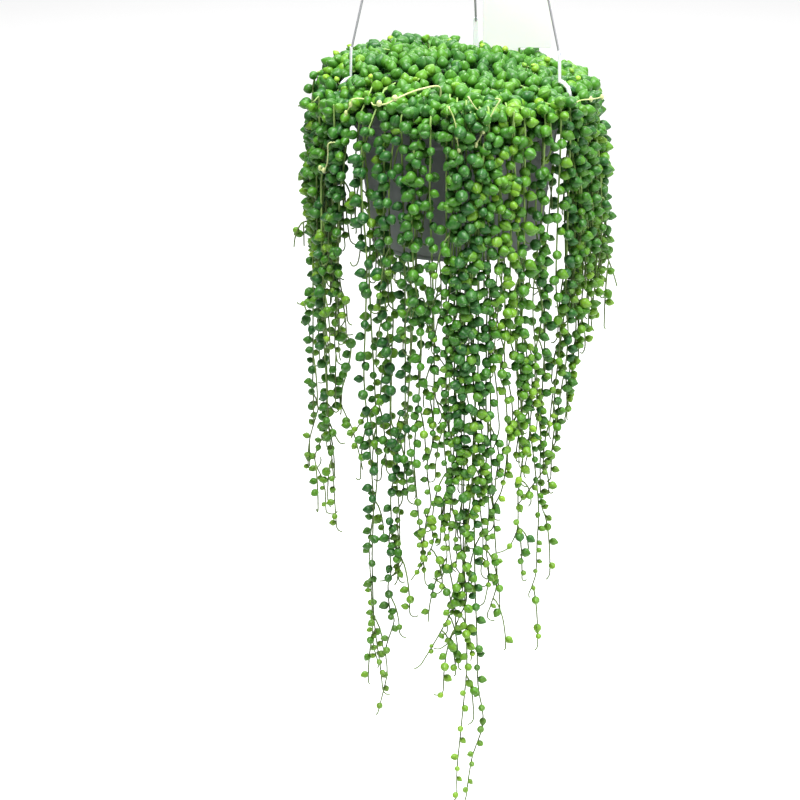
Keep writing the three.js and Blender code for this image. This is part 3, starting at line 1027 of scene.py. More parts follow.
class MoundTree(GrowingTree):
    """Covers a surface with pearls that stand on it, no two nearer than their spacing."""

    def __init__(self) -> None:
        """Builds the tree."""
        super().__init__("pearl_mound", "Spacing", "Pearl Radius", "Warmth")
        values = {
            "Mesh": self.given("Geometry"),
            "Distance Min": self.given("Spacing"),
            "Density Max": 60000.0,
            "Seed": self.given("Seed"),
        }
        settings = {"distribute_method": "POISSON"}
        scatter = self.node("GeometryNodeDistributePointsOnFaces", settings, values)
        points = self.store(Signal(self, scatter.outputs["Points"]), "tint", self.chance(0.0, 1.0, 21))
        points = self.store(points, "age", self.chance(0.0, 0.35, 22))
        patches = self.add("ShaderNodeTexNoise", None, {"Scale": 24.0, "Detail": 1.0})
        # The layer's shift of warm colour: a negative shift darkens its pearls as painted shade.
        points = self.store(points, "warm_and_painted_light", patches + self.given("Warmth"))
        leans = ((0.6, 23), (0.6, 24), (0.3, 25))
        lean = self.combine(*(self.chance(-most, most, seed) for most, seed in leans))
        direction = self.vector("ADD", {0: scatter.outputs["Normal"], 1: lean})
        values = {
            "Points": points,
            "Instance": self.pearl(0.0, 0.3),
            "Rotation": self.aim(direction),
            "Scale": self.given("Pearl Radius") * self.chance(0.76, 1.12, 26),
        }
        self.finish(self.add("GeometryNodeInstanceOnPoints", None, values))


@dataclass
class Chain:
    """One stem's middle line, with what its pearls are like."""

    points: list[Vector]
    start_age: float = 0.0
    bare_root: float = 0.0
    bare_tip: float = 12 * MM
    warm_and_painted_light: float = 0.4
    girth: float = 1.0
    full: float = 1.0

    def rows(self) -> Iterable[tuple[Vector, float, float]]:
        """Each point with its age and leafiness.

        Returns:
            Point, age from start_age to 1, and leafiness from 0 to 1.
        """
        lengths = [0.0]
        for before, after in zip(self.points, self.points[1:]):
            lengths.append(lengths[-1] + (after - before).length)
        whole = lengths[-1]
        for point, length in zip(self.points, lengths):
            age = self.start_age + (1 - self.start_age) * length / whole
            leafy = self.bare_root <= length <= whole - self.bare_tip
            yield point, age, self.full * leafy

    def curl(self, side: Vector, radius: float, turn: float) -> None:
        """Ends the stem in a thin bare hook.

        Args:
            side: The side that it curls to.
            radius: The hook's radius.
            turn: How far it turns, in degrees.
        """
        end = self.points[-1]
        ahead = (end - self.points[-2]).normalized()
        side = (side - ahead * side.dot(ahead)).normalized()
        steps = 6
        for step in range(1, steps + 1):
            angle = math.radians(turn) * step / steps
            place = end + ahead * radius * math.sin(angle) + side * radius * (1 - math.cos(angle))
            self.points.append(place)
        self.bare_tip += radius * math.radians(turn) * 0.8


def lay_chains(chains: Sequence[Chain], name: str) -> Piece:
    """Puts chains into one mesh of edges.

    Args:
        chains: The chains.
        name: The object's name.

    Returns:
        The object.
    """
    points: list[Vector] = []
    edges: list[tuple[int, int]] = []
    marks: dict[str, list[float]] = {"age": [], "leafy": [], "warm_and_painted_light": [], "girth": []}
    for chain in chains:
        first = len(points)
        for point, age, leafy in chain.rows():
            points.append(point)
            for title, value in zip(marks, (age, leafy, chain.warm_and_painted_light, chain.girth)):
                marks[title].append(value)
        edges.extend((i, i + 1) for i in range(first, len(points) - 1))
    data = bpy.data.meshes.new(name)
    data.from_pydata(points, edges, [])
    for title, values in marks.items():
        data.attributes.new(title, "FLOAT", "POINT").data.foreach_set("value", values)
    return stand(name, data)


@dataclass(frozen=True)
class Wander:
    """A smooth sideways drift, the sum of three waves."""

    phases: tuple[float, ...]
    reach: float
    waves: ClassVar[Outline] = ((70 * MM, 0.6), (27 * MM, 0.3), (11 * MM, 0.12))
    settled: ClassVar[float] = 60 * MM

    @classmethod
    def drawn(cls, dice: random.Random, reach: float) -> Wander:
        """Draws the phases.

        Args:
            dice: The source of chance.
            reach: The drift's size.

        Returns:
            The drift.
        """
        return cls(tuple(dice.uniform(0, 2 * math.pi) for _ in range(6)), reach)

    def at(self, depth: float) -> Vector:
        """The drift at a depth.

        Args:
            depth: Metres along the stem.

        Returns:
            The sideways shift.
        """
        shift = Vector((0.0, 0.0, 0.0))
        for i, (length, share) in enumerate(self.waves):
            shift.x += share * math.sin(depth / length + self.phases[2 * i])
            shift.y += share * math.sin(depth / length + self.phases[2 * i + 1])
        return shift * self.reach * min(1.0, depth / self.settled)


# ---- Sub-assemblies ----


@dataclass(frozen=True)
class Sight:
    """Where the camera stands, and how a place measured on the photograph comes back to the plant."""

    pitch: float = math.radians(18.5)
    distance: float = 3.0
    lens: float = 168.75
    sensor: float = 36.0
    side: float = 800.0
    refinements: int = 12
    aim: Vector = field(default_factory=lambda: Vector((-44.4 * MM, 0.0, -684.5 * MM)))

    def through(self, across: float, down: float, forth: float) -> Vector:
        """The place at a depth that shows at a place in the photograph.

        Args:
            across: Pixels from the photograph's left edge.
            down: Pixels from its top edge.
            forth: The place's Y.

        Returns:
            The place.
        """
        focal = self.lens / self.sensor * self.side
        level, steep = math.cos(self.pitch), math.sin(self.pitch)
        rise = (self.side / 2 - down) / focal
        near = self.distance + level * forth
        drop = (rise * near - steep * forth) / (level + steep * rise)
        aside = (across - self.side / 2) * (near - steep * drop) / focal
        return Vector((self.aim.x + aside, forth, self.aim.z + drop))

    def hang(self, across: float, down: float, radius: float) -> Vector:
        """The place on the plant's front that shows at a place in the photograph.

        Args:
            across: Pixels from the photograph's left edge.
            down: Pixels from its top edge.
            radius: The place's distance from the pot's axis at the rim's height.

        Returns:
            The place.
        """
        place = Vector((0.0, -radius, 0.0))
        for _ in range(self.refinements):
            place = self.through(across, down, place.y)
            reach = radius * (1 - Strand.pull * max(0.0, RIM_HEIGHT - place.z) / MM)
            place.y = -math.sqrt(max(reach * reach - place.x * place.x, 0.0))
        return place


@dataclass
class Studio:
    """The camera at the photograph's angle, soft light and a pale floor."""

    sight: Sight
    floor: float = -1.35
    reach: float = 22.0
    paint: Colour = (0.93, 0.93, 0.93)
    sky: float = 0.1
    far: float = 60.0

    def build(self) -> None:
        """Makes the camera, the lights, the floor and the sky."""
        bpy.context.scene.view_settings.view_transform = "Standard"
        plant = Vector((0.0, 0.0, -0.6))
        self._camera()
        self._lamp("key_light", (-0.4, -1.1, 2.4), plant, size=0.9, power=128.0)
        self._lamp("fill_light", (2.6, -0.7, 0.2), plant, size=1.3, power=44.0)
        self._lamp("top_light", (0.2, -0.3, 1.5), plant, size=0.9, power=62.0)
        self._lamp("back_light", (0.8, 2.2, 0.3), plant, size=1.8, power=20.0)
        behind = Vector((0.0, 3.2, self.floor))
        self._lamp("backdrop_light", (0.0, 3.2, 1.4), behind, size=4.0, power=115.0)
        self._sky()
        self._floor()

    def _camera(self) -> None:
        """Places the camera."""
        sight = self.sight
        data = bpy.data.cameras.new("camera")
        data.lens = sight.lens
        data.sensor_width = sight.sensor
        data.clip_end = self.far
        camera = stand("camera", data)
        back = Vector((0.0, -math.cos(sight.pitch), math.sin(sight.pitch)))
        camera.location = sight.aim + sight.distance * back
        camera.rotation_euler = (math.pi / 2 - sight.pitch, 0.0, 0.0)
        bpy.context.scene.camera = camera

    def _lamp(self, name: str, place: Sequence[float], target: Vector, size: float, power: float) -> None:
        """Adds a soft square lamp.

        Args:
            name: The lamp's name.
            place: Where it stands.
            target: What it faces.
            size: Its side.
            power: Its power in watts.
        """
        data = bpy.data.lights.new(name, "AREA")
        data.size = size
        data.energy = power
        lamp = stand(name, data)
        lamp.location = place
        lamp.rotation_euler = (target - lamp.location).to_track_quat("-Z", "Y").to_euler()
        lamp.visible_camera = False

    def _sky(self) -> None:
        """Makes an even white sky."""
        world = bpy.data.worlds.new("sky")
        world.use_nodes = True
        background = world.node_tree.nodes["Background"]
        background.inputs["Color"].default_value = (1.0, 1.0, 1.0, 1.0)
        background.inputs["Strength"].default_value = self.sky
        bpy.context.scene.world = world

    def _floor(self) -> None:
        """Lays the floor."""
        data = bpy.data.meshes.new("floor")
        corners = ((-1, -1), (1, -1), (1, 1), (-1, 1))
        points = [(x * self.reach, y * self.reach, self.floor) for x, y in corners]
        data.from_pydata(points, [], [(0, 1, 2, 3)])
        material = bpy.data.materials.new("floor_paint")
        material.use_nodes = True
        shader = material.node_tree.nodes["Principled BSDF"]
        shader.inputs["Base Color"].default_value = (*self.paint, 1.0)
        shader.inputs["Roughness"].default_value = 0.9
        data.materials.append(material)
        floor = stand("floor", data)


@dataclass
class Pot:
    """The moulded pot with its rim band, ledge, foot and drain holes."""

    rim: float = 90 * MM
    band: float = 14 * MM
    mouth: float = 83 * MM
    base: float = 66 * MM
    height: float = 120 * MM
    wall: float = 1.6 * MM
    ledge: float = 27 * MM
    step: float = 2 * MM
    foot: float = 3 * MM
    rise: float = 4 * MM
    holes: int = 6
    hole_radius: float = 4 * MM
    hole_circle: float = 44 * MM
    slope: float = 1 * MM
    lip: float = 1 * MM
    fillet: float = 0.9 * MM
    drill: Range = (-2 * MM, 12 * MM)

    def inner(self, z: float) -> float:
        """The wall's inner radius at a height below the rim."""
        under = self.mouth - (self.step if z < -self.ledge else 0.0)
        return under + (self.base - self.wall - (self.mouth - self.step)) * (-z / self.height)

    def profile(self) -> list[Range]:
        """The pot's section, from the floor's middle over the rim to the underside.

        Returns:
            Radius and height of its points.
        """
        floor = -self.height + self.rise + self.wall
        under = -self.height + self.foot
        ledge_top = -self.ledge + self.slope
        ledge_foot = -self.ledge - self.slope
        base = self.base + self.lip
        return [
            (0.0, floor),
            (self.inner(floor), floor),
            (self.inner(ledge_foot), ledge_foot),
            (self.inner(ledge_top), ledge_top),
            (self.mouth, 0.0),
            (self.rim, 0.0),
            (self.rim, -self.band),
            (self.rim - self.wall, -self.band),
            (self.rim - self.wall, -self.wall),
            (self.inner(-self.wall) + self.wall, -self.wall),
            (self.inner(ledge_top) + self.wall, ledge_top),
            (self.inner(ledge_foot) + self.wall, ledge_foot),
            (self.inner(under) + self.wall, under),
            (base, under),
            (base, -self.height),
            (self.base - self.wall, -self.height),
            (self.base - self.wall, floor - self.wall),
            (0.0, floor - self.wall),
        ]

    def build(self, palette: Palette) -> None:
        """Makes the pot.

        Args:
            palette: The finishes.
        """
        shell = Sculptor()
        shell.turn(soften(self.profile(), self.fillet), 144)
        source = shell.piece("pot_blank", palette.pot, RIM)
        drill = Sculptor()
        for i in range(self.holes):
            place = around(360 * i / self.holes, self.hole_circle, RIM_HEIGHT - self.height)
            drill.sweep([place + Vector((0, 0, z)) for z in self.drill], [self.hole_radius] * 2, 24)
        cutter = drill.piece("drill", palette.pot)
        modifier = source.modifiers.new("drain", "BOOLEAN")
        modifier.object = cutter
        modifier.solver = "EXACT"
        pot = set_down(source, "pot_shell")
        bpy.data.objects.remove(cutter)
        mount(pot, "pot_plastic", "pot")


@dataclass
class Soil:
    """The block of potting mix with a crumbly top."""

    pot: Pot
    level: float = -10 * MM
    gap: float = 0.3 * MM
    crumbs: float = 2.4 * MM
    rings: int = 26
    segments: int = 84

    def build(self, palette: Palette) -> None:
        """Makes the soil.

        Args:
            palette: The finishes.
        """
        dice = random.Random(41)
        block = Sculptor()
        floor = -self.pot.height + self.pot.rise + self.pot.wall + self.gap
        edge = self.pot.inner(self.level) - self.gap
        top = [(edge * i / self.rings, self.level) for i in range(self.rings + 1)]
        side = [(self.pot.inner(floor) - self.gap, floor), (0.0, floor)]
        block.turn([*top, *side], self.segments)
        for vertex in block.mesh.verts:
            if vertex.co.z > self.level - 1e-6:
                vertex.co.z -= dice.uniform(0.0, self.crumbs)
        soil = block.piece("soil_block", palette.soil, RIM)
        mount(soil, "potting_mix", "soil")


class Arm(Enum):
    """The hanger's arms, each with its bearing."""

    RIGHT = 67
    BACK = 169
    LEFT = -76


@dataclass
class Hanger:
    """The hook with its hub, and three thin arms whose clips reach round the rim.

    The shank is in shares of the bend and millimetres, the arch in millimetres, the rest in metres.
    """

    pot: Pot
    inner: float = 12 * MM
    wire: float = 2.4 * MM
    hub_top: float = -46 * MM
    hub_radius: float = 10 * MM
    hub_thickness: float = 5 * MM
    shank: Outline = ((0.92, -22), (0.55, -29), (0.12, -35), (0.0, -40))
    hook_tip: float = 0.72
    hook_taper: float = 0.14
    arm_circle: float = 6.5 * MM
    arm_radius: float = 0.9 * MM
    arm_head: float = 2 * MM
    band_width: float = 4.5 * MM
    band_thickness: float = 1.2 * MM
    band_top: float = 39 * MM
    band_circle: float = 84 * MM
    arch_outside: Outline = ((85.6, 16), (89, 14.6), (92.4, 11.4), (94.2, 6.5), (94.5, 1))
    arch_inside: Outline = ((93, 0.6), (92.6, 5.8), (91.1, 10.3), (88.3, 13.2), (84.4, 14.4))
    clip_drop: float = 16 * MM
    clip_foot: float = 1.4 * MM
    clip_toe: float = 86.4 * MM

    def build(self, palette: Palette) -> None:
        """Makes the hook and the arms.

        Args:
            palette: The finishes.
        """
        self._hook(palette)
        for arm in Arm:
            self._arm(arm, palette)

    def _hook(self, palette: Palette) -> None:
        """Makes the hook and its hub.

        Args:
            palette: The finishes.
        """
        bend = self.inner + self.wire
        line = []
        for angle in range(-150, 61, 21):
            turn = math.radians(angle)
            line.append(Vector((bend * math.sin(turn), 0.0, bend * math.cos(turn) - self.inner)))
        for share, z in self.shank:
            line.append(Vector((bend * share, 0.0, z * MM)))
        line.append(Vector((0.0, 0.0, self.hub_top - 1 * MM)))
        fine = smooth_line(line, 4)
        radii = [self.wire * min(1.0, self.hook_tip + self.hook_taper * i) for i in range(len(fine))]
        hook = Sculptor()
        hook.sweep(fine, radii, 16)
        foot = self.hub_top - self.hub_thickness
        hub = [
            (0.0, self.hub_top + 3 * MM),
            (3 * MM, self.hub_top + 2 * MM),
            (3.6 * MM, self.hub_top),
            (self.hub_radius, self.hub_top),
            (self.hub_radius, foot + 1 * MM),
            (self.hub_radius - 1.5 * MM, foot),
            (0.0, foot),
        ]
        hook.turn(soften(hub, 0.6 * MM), 48)
        mount(hook.piece("hook_and_hub", palette.hanger), "hanger_plastic", "hanger_hook")

    def _arm(self, arm: Arm, palette: Palette) -> None:
        """Makes one arm.

        Args:
            arm: Which arm.
            palette: The finishes.
        """
        foot = self.hub_top - self.hub_thickness
        turn = Matrix.Rotation(math.radians(arm.value - 90), 4, "Z")
        way = [
            (self.arm_circle, self.hub_top + 1 * MM),
            (self.arm_circle, foot - 3 * MM),
            (self.arm_circle + 0.5 * MM, foot - 6 * MM),
            (self.arm_circle + 1.7 * MM, foot - 10 * MM),
            (self.band_circle + self.band_thickness / 2, RIM_HEIGHT + self.band_top - 3 * MM),
        ]
        line = smooth_line([turn @ Vector((radius, 0.0, z)) for radius, z in way], 4)
        # The thread is the hanger's white plastic with a grey finish of painted shade.
        thread = Sculptor()
        thread.sweep(line, [self.arm_radius] * len(line), 10)
        head = Vector((self.arm_circle, 0.0, self.hub_top + self.arm_head + 0.2 * MM))
        thread.ball(turn @ head, self.arm_head)
        side = arm.name.lower()
        mount(thread.piece(f"thread_{side}", palette.thread), "hanger_plastic", f"hanger_arm_{side}")
        band = Sculptor()
        upright = Matrix(((1, 0, 0, 0), (0, 0, -1, 0), (0, 1, 0, RIM_HEIGHT), (0, 0, 0, 1)))
        band.plate(self._clip(), self.band_width, turn @ upright)
        piece = band.piece(f"band_and_clip_{side}", palette.hanger)
        bevel(piece, 0.3 * MM)
        mount(piece, "hanger_plastic", f"hanger_arm_{side}")

    def _clip(self) -> list[Range]:
        """The outline of the band and the clip, in radius and height above the rim.

        Returns:
            Its points.
        """
        arches = (self.arch_outside, self.arch_inside)
        outside, inside = ([(radius * MM, height * MM) for radius, height in arch] for arch in arches)
        return [
            (self.band_circle, self.band_top),
            (self.band_circle + self.band_thickness, self.band_top),
            *outside,
            (outside[-1][0], -self.clip_drop),
            (self.clip_toe, -self.clip_drop),
            (self.clip_toe, -self.clip_drop + self.clip_foot),
            (inside[0][0], -self.clip_drop + self.clip_foot),
            *inside,
        ]


@dataclass
class Label:
    """The bare plastic label, a thin tongue with a wide head."""

    place: Range = (44 * MM, 50 * MM)
    head: Range = (54 * MM, 43 * MM)
    stem: float = 10 * MM
    thickness: float = 0.8 * MM
    head_from: float = 22 * MM
    aside: float = 4 * MM
    foot: float = -45 * MM
    point: float = 8 * MM
    corner: float = 5 * MM

    def build(self, palette: Palette) -> None:
        """Makes the label.

        Args:
            palette: The finishes.
        """
        width, length = self.head
        left, right = self.aside - width / 2, self.aside + width / 2
        top = self.head_from + length
        half = self.stem / 2
        outline = [(-half, self.foot + self.point), (0.0, self.foot), (half, self.foot + self.point)]
        outline += [(half, self.head_from), (right, self.head_from)]
        for centre, start in ((right - self.corner, 0), (left + self.corner, 90)):
            for step in range(7):
                turn = math.radians(start + 15 * step)
                x = centre + self.corner * math.cos(turn)
                outline.append((x, top - self.corner + self.corner * math.sin(turn)))
        outline += [(left, self.head_from), (-half, self.head_from)]
        x, y = self.place
        upright = Matrix(((1, 0, 0, x), (0, 0, -1, y), (0, 1, 0, RIM_HEIGHT), (0, 0, 0, 1)))
        sheet = Sculptor()
        sheet.plate(outline, self.thickness, upright)
        label = sheet.piece("bare_label", palette.label)
        bevel(label, 0.2 * MM, 2)
        mount(label, "label_plastic", "plant_label")


@dataclass
class Crown:
    """The mound on the pot: undergrowth in painted shade, pearls all over it, and stems that lie across it.

    The slope, its edge, the sinks and the ranges of the arcs and sprigs are in millimetres. The sprigs'
    places are pixels of the photograph. Bearings are in degrees, and the rest is in metres.
    """

    strings: StringTree
    mound: MoundTree
    sight: Sight
    slope: Outline = (
        (0, 28), (15.5, 27.3), (31, 25.8), (46, 23.5), (61, 20.5), (76, 16.8), (91, 12.3), (105, 7.2),
        (114, 1.5), (113, -2),
    )
    edge: float = 113
    core_sink: float = 9.5
    # Layers: sink in mm, seed and colour shift; the deeper layer is darkened as painted shade.
    layers: tuple[tuple[float, int, float], ...] = ((3.4, 5, 0.0), (6.6, 9, -0.25))
    narrowing: float = 1.9
    pearl: float = 4.9 * MM
    spacing: float = 7.9 * MM
    arcs: int = 64
    arc_steps: int = 14
    arc_scatter: float = 6
    arc_sway: float = 28
    arc_start: Range = (30, 88)
    arc_end: Range = (97, 106)
    arc_hop: Range = (0.5, 3.5)
    arc_root: float = 5 * MM
    arc_sink: float = 2.0 * MM
    arc_spill: tuple[float, ...] = (4, 6, 9, 14, 26)
    arc_pearls: tuple[float, float, float] = (11.5 * MM, 4.9 * MM, 4.9 * MM * 0.8)
    sprigs: Outline = (
        (333, 57), (358, 44), (374, 86), (395, 42), (414, 91), (430, 42), (453, 42), (459, 41), (484, 47),
        (488, 52), (504, 57), (525, 77), (532, 76), (546, 70), (568, 84), (576, 86), (346, 96), (590, 104),
    )
    sprig_length: Range = (8, 13)
    sprig_lean: float = 0.6
    sprig_root: float = 4 * MM
    sprig_pearls: tuple[float, float, float] = (6.0 * MM, 3.8 * MM, 2.4 * MM)
    sprig_reach: float = 104 * MM
    stem: float = 0.7 * MM
    tilt: float = 0.08
    fade: Range = (116 * MM, 30 * MM)
    groove: float = 7 * MM
    groove_place: Range = (10 * MM, -10 * MM)
    clips: Outline = ((-88 * MM, -22 * MM), (84.5 * MM, -36 * MM))
    notch: tuple[float, float, float] = (8 * MM, 20 * MM, 11 * MM)
    notch_ahead: float = 14 * MM
    clip_half_width: float = 8 * MM
    clip_front: float = 4 * MM
    clip_reach: float = 6 * MM
    sight_slope: float = 0.335
    bare_rim: float = -44.0
    bare_half_width: float = 11.0
    bare_from: float = 86 * MM
    bare_pinch: float = 0.4
    bare_level: float = 3 * MM
    lowest: float = 1.5 * MM

    def height(self, x: float, y: float) -> float:
        """The mound's height above the rim.

        Args:
            x: Place across the pot.
            y: Place from front to back.

        Returns:
            The height.
        """
        radius = math.hypot(x, y)
        rising = self.slope[:-1]
        level = rising[-1][1] * MM
        for (inner, high), (outer, low) in zip(rising, rising[1:]):
            if radius <= outer * MM:
                share = max(0.0, (radius - inner * MM) / ((outer - inner) * MM))
                level = (high + (low - high) * share) * MM
                break
        return level + self.relief(x, y)

    def relief(self, x: float, y: float) -> float:
        """The mound's humps and hollows, its fuller left side and the notches over the outer clips.

        Args:
            x: Place across the pot.
            y: Place from front to back.

        Returns:
            Height above the plain slope.
        """
        # Broad humps some 50 mm apart, with finer ones between them, both in millimetres.
        humps = 2.2 * math.sin(x / (17 * MM) + 1.1) * math.cos(y / (14 * MM) - 0.4)
        humps += 1.6 * math.sin(x / (7.5 * MM) + y / (9 * MM))
        outermost, width = self.fade
        edge = min(1.0, max(0.0, (outermost - math.hypot(x, y)) / width))
        aside, front = self.groove_place
        groove = math.exp(-(((x - aside) / self.groove) ** 2)) * (self.groove if y > front else 0.0)
        notch = 0.0
        breadth, length, depth = self.notch
        for across, forth in self.clips:
            ahead = (y - forth + self.notch_ahead) / length
            notch += math.exp(-(((x - across) / breadth) ** 2) - ahead * ahead) * depth
        return (humps * MM - self.tilt * x - groove) * edge - notch

    def build(self, palette: Palette) -> None:
        """Makes the crown's pieces.

        Args:
            palette: The finishes.
        """
        # The core is painted near black: painted shade that shows between the pearls.
        core = self._dome(self.core_sink, 96)
        painted_shade_undergrowth = core.piece("crown_painted_shade_undergrowth", palette.painted_shade_undergrowth, RIM)
        mount(painted_shade_undergrowth, "crown_pearls", "crown")
        # The deeper layer's negative shift darkens its pearls: painted shade in the crevices.
        for layer, (sink, seed, shade_offset) in enumerate(self.layers):
            sheet = self._dome(sink, 72)
            centres = ((face, face.calc_center_median()) for face in sheet.mesh.faces)
            hiding = [face for face, centre in centres if self._hides(centre, centre.z)]
            bmesh.ops.delete(sheet.mesh, geom=hiding, context="FACES")
            pearls = self.mound.grow(
                sheet.piece("mound_sheet", palette.stem, RIM),
                f"crown_pearls_{layer + 1}",
                palette,
                Spacing=self.spacing,
                Pearl_Radius=self.pearl,
                Warmth=shade_offset,
                Seed=seed,
            )
            mount(pearls, "crown_pearls", "crown")
        groups = (
            ("crown_arcs", self._arcs(), 77, self.arc_pearls),
            ("crown_sprigs", self._sprigs(), 78, self.sprig_pearls),
        )
        for name, chains, seed, (spacing, radius, tip) in groups:
            strings = self.strings.grow(
                lay_chains(chains, name),
                name,
                palette,
                Spacing=spacing,
                Pearl_Radius=radius,
                Tip_Radius=tip,
                Stem_Radius=self.stem,
                Lift=0.5,
                Outward=0.2,
                Seed=seed,
            )
            mount(strings, "crown_pearls", "crown")

    def _dome(self, sink: float, segments: int) -> Sculptor:
        """The mound's shape, or a shell inside it.

        Args:
            sink: How far it lies under the mound's surface, in millimetres.
            segments: Steps of its turn.

        Returns:
            The shape, closed underneath over the pot's mouth.
        """
        dome = Sculptor()
        fine = []
        for (inner, high), (outer, low) in zip(self.slope, self.slope[1:]):
            for share in (0.0, 0.25, 0.5, 0.75):
                fine.append((inner + (outer - inner) * share, high + (low - high) * share))
        narrow = self.narrowing * sink
        profile = [(max(r - narrow * r / self.edge, 0.0) * MM, (z - sink) * MM) for r, z in fine]
        dome.turn([*profile, (107 * MM, -5 * MM), (93 * MM, 1 * MM), (0.0, 1 * MM)], segments)
        for vertex in dome.mesh.verts:
            if vertex.co.z > self.lowest:
                vertex.co.z = max(self.lowest, vertex.co.z + self.relief(vertex.co.x, vertex.co.y))
            reach = vertex.co.xy.length
            if reach > self.bare_from and self.over_bare_rim(vertex.co):
                vertex.co.xy *= (self.bare_from + (reach - self.bare_from) * self.bare_pinch) / reach
                vertex.co.z = max(self.bare_level, vertex.co.z)
        return dome

    def over_bare_rim(self, place: Vector) -> bool:
        """Whether a place is at the left of the front, where the crown leaves the pot's rim bare."""
        bearing = math.degrees(math.atan2(place.x, -place.y))
        return abs(bearing - self.bare_rim) < self.bare_half_width

    def _hides(self, point: Vector, above_rim: float) -> bool:
        """Whether a pearl here would stand before an outer clip.

        Args:
            point: The pearl's place.
            above_rim: Its height above the rim.

        Returns:
            Whether it hides a clip from the front.
        """
        for across, forth in self.clips:
            ahead = forth + self.clip_front - point.y
            in_line = abs(point.x - across) < self.clip_half_width
            if ahead > 0 and in_line and above_rim > self.sight_slope * ahead - self.clip_reach:
                return True
        return False

    def covers_clip(self, point: Vector) -> bool:
        """Whether a stem's point would stand before an outer clip."""
        return self._hides(point, point.z - RIM_HEIGHT)

    def _arcs(self) -> list[Chain]:
        """Stems that rise out of the mound, lie over it and spill over its edge.

        Returns:
            Their middle lines.
        """
        dice = random.Random(2024)
        chains = []
        for i in range(self.arcs):
            bearing = 360 * i / self.arcs + dice.uniform(-self.arc_scatter, self.arc_scatter)
            start = dice.uniform(*self.arc_start) * MM
            end = dice.uniform(*self.arc_end) * MM
            sway = dice.uniform(-self.arc_sway, self.arc_sway)
            hop = dice.uniform(*self.arc_hop) * MM
            line = []
            for step in range(self.arc_steps + 1):
                share = step / self.arc_steps
                point = around(bearing + sway * share * share, start + (end - start) * share, 0.0)
                lift = hop * math.sin(math.pi * share) - (self.arc_sink if step else self.arc_root)
                point.z = RIM_HEIGHT + self.height(point.x, point.y) + lift
                line.append(point)
            spill = dice.choice(self.arc_spill) * MM
            for step in range(1, 5):
                radius = end + 3 * MM * math.sin(math.pi * step / 4)
                line.append(around(bearing + sway, radius, line[self.arc_steps].z - spill * step / 4))
            chain = Chain(line, 0.0, 6 * MM, 3 * MM, dice.uniform(0.1, 0.8))
            if not any(self.covers_clip(point) for point in line) and not self.over_bare_rim(line[-1]):
                chains.append(chain)
        return chains

    def _sprigs(self) -> list[Chain]:
        """Young shoots that stand up out of the mound.

        Returns:
            Their middle lines.
        """
        dice = random.Random(77)
        chains = []
        for across, down in self.sprigs:
            root = self._seen(across, down) - Vector((0.0, 0.0, self.sprig_root))
            lean = Vector((dice.uniform(-1, 1), dice.uniform(-1, 1), 0.0)) * self.sprig_lean
            length = dice.uniform(*self.sprig_length) * MM
            line = []
            for share in (0.0, 0.2, 0.4, 0.6, 0.8, 1.0):
                line.append(root + Vector((lean.x * share, lean.y * share, 1.0)) * length * share)
            chains.append(Chain(line, 0.3, 3 * MM, 0.0, dice.uniform(0.5, 1.0)))
        return chains

    def _seen(self, across: float, down: float) -> Vector:
        """The place on the mound that shows at a place in the photograph.

        Args:
            across: Pixels from the photograph's left edge.
            down: Pixels from its top edge.

        Returns:
            The place, or the mound's outline under it where the mound is lower.
        """
        while True:
            for step in range(110):
                spot = self.sight.through(across, down, (-110 + 2 * step) * MM)
                inside = spot.xy.length < self.sprig_reach
                if inside and spot.z < RIM_HEIGHT + self.height(spot.x, spot.y):
                    return spot
            down += 2


@dataclass(frozen=True)
class Strand:
    """One strand of the frame: where it hangs, how far it falls and its tip drifts, in degrees and mm."""

    bearing: float
    radius: float
    fall: float
    drift: float
    pull: ClassVar[float] = 0.00035
    bulge: ClassVar[float] = 10.0
    bulge_depth: ClassVar[float] = 110.0
    bulge_from: ClassVar[float] = 105.0
    sway: ClassVar[float] = 3.0
    sway_length: ClassVar[float] = 190.0
    sway_from: ClassVar[float] = 60.0

    @property
    def outer(self) -> bool:
        """Whether it hangs in the outer ring."""
        return self.radius > self.bulge_from

    @property
    def outward(self) -> Vector:
        """Away from the pot's axis."""
        return around(self.bearing, 1.0, 0.0)

    @property
    def aside(self) -> Vector:
        """Sideways, to the right as seen from outside."""
        return around(self.bearing + 90, 1.0, 0.0)

    def at(self, depth: float) -> Vector:
        """The strand's middle line at a depth below the rim, as in the frame.

        Args:
            depth: Metres below the rim.

        Returns:
            The point.
        """
        deep = depth / MM
        bulge = self.bulge if self.outer else 0.0
        swing = bulge * math.sin(math.pi / 2 * min(1.0, deep / self.bulge_depth))
        hang = (self.radius + swing) * (1 - self.pull * deep)
        wave = self.sway * math.sin(2 * math.pi * deep / self.sway_length + self.bearing + self.radius)
        shift = self.drift * (deep / self.fall) ** 2 + wave * min(1.0, deep / self.sway_from)
        return around(self.bearing, hang * MM, RIM_HEIGHT - depth) + self.aside * shift * MM


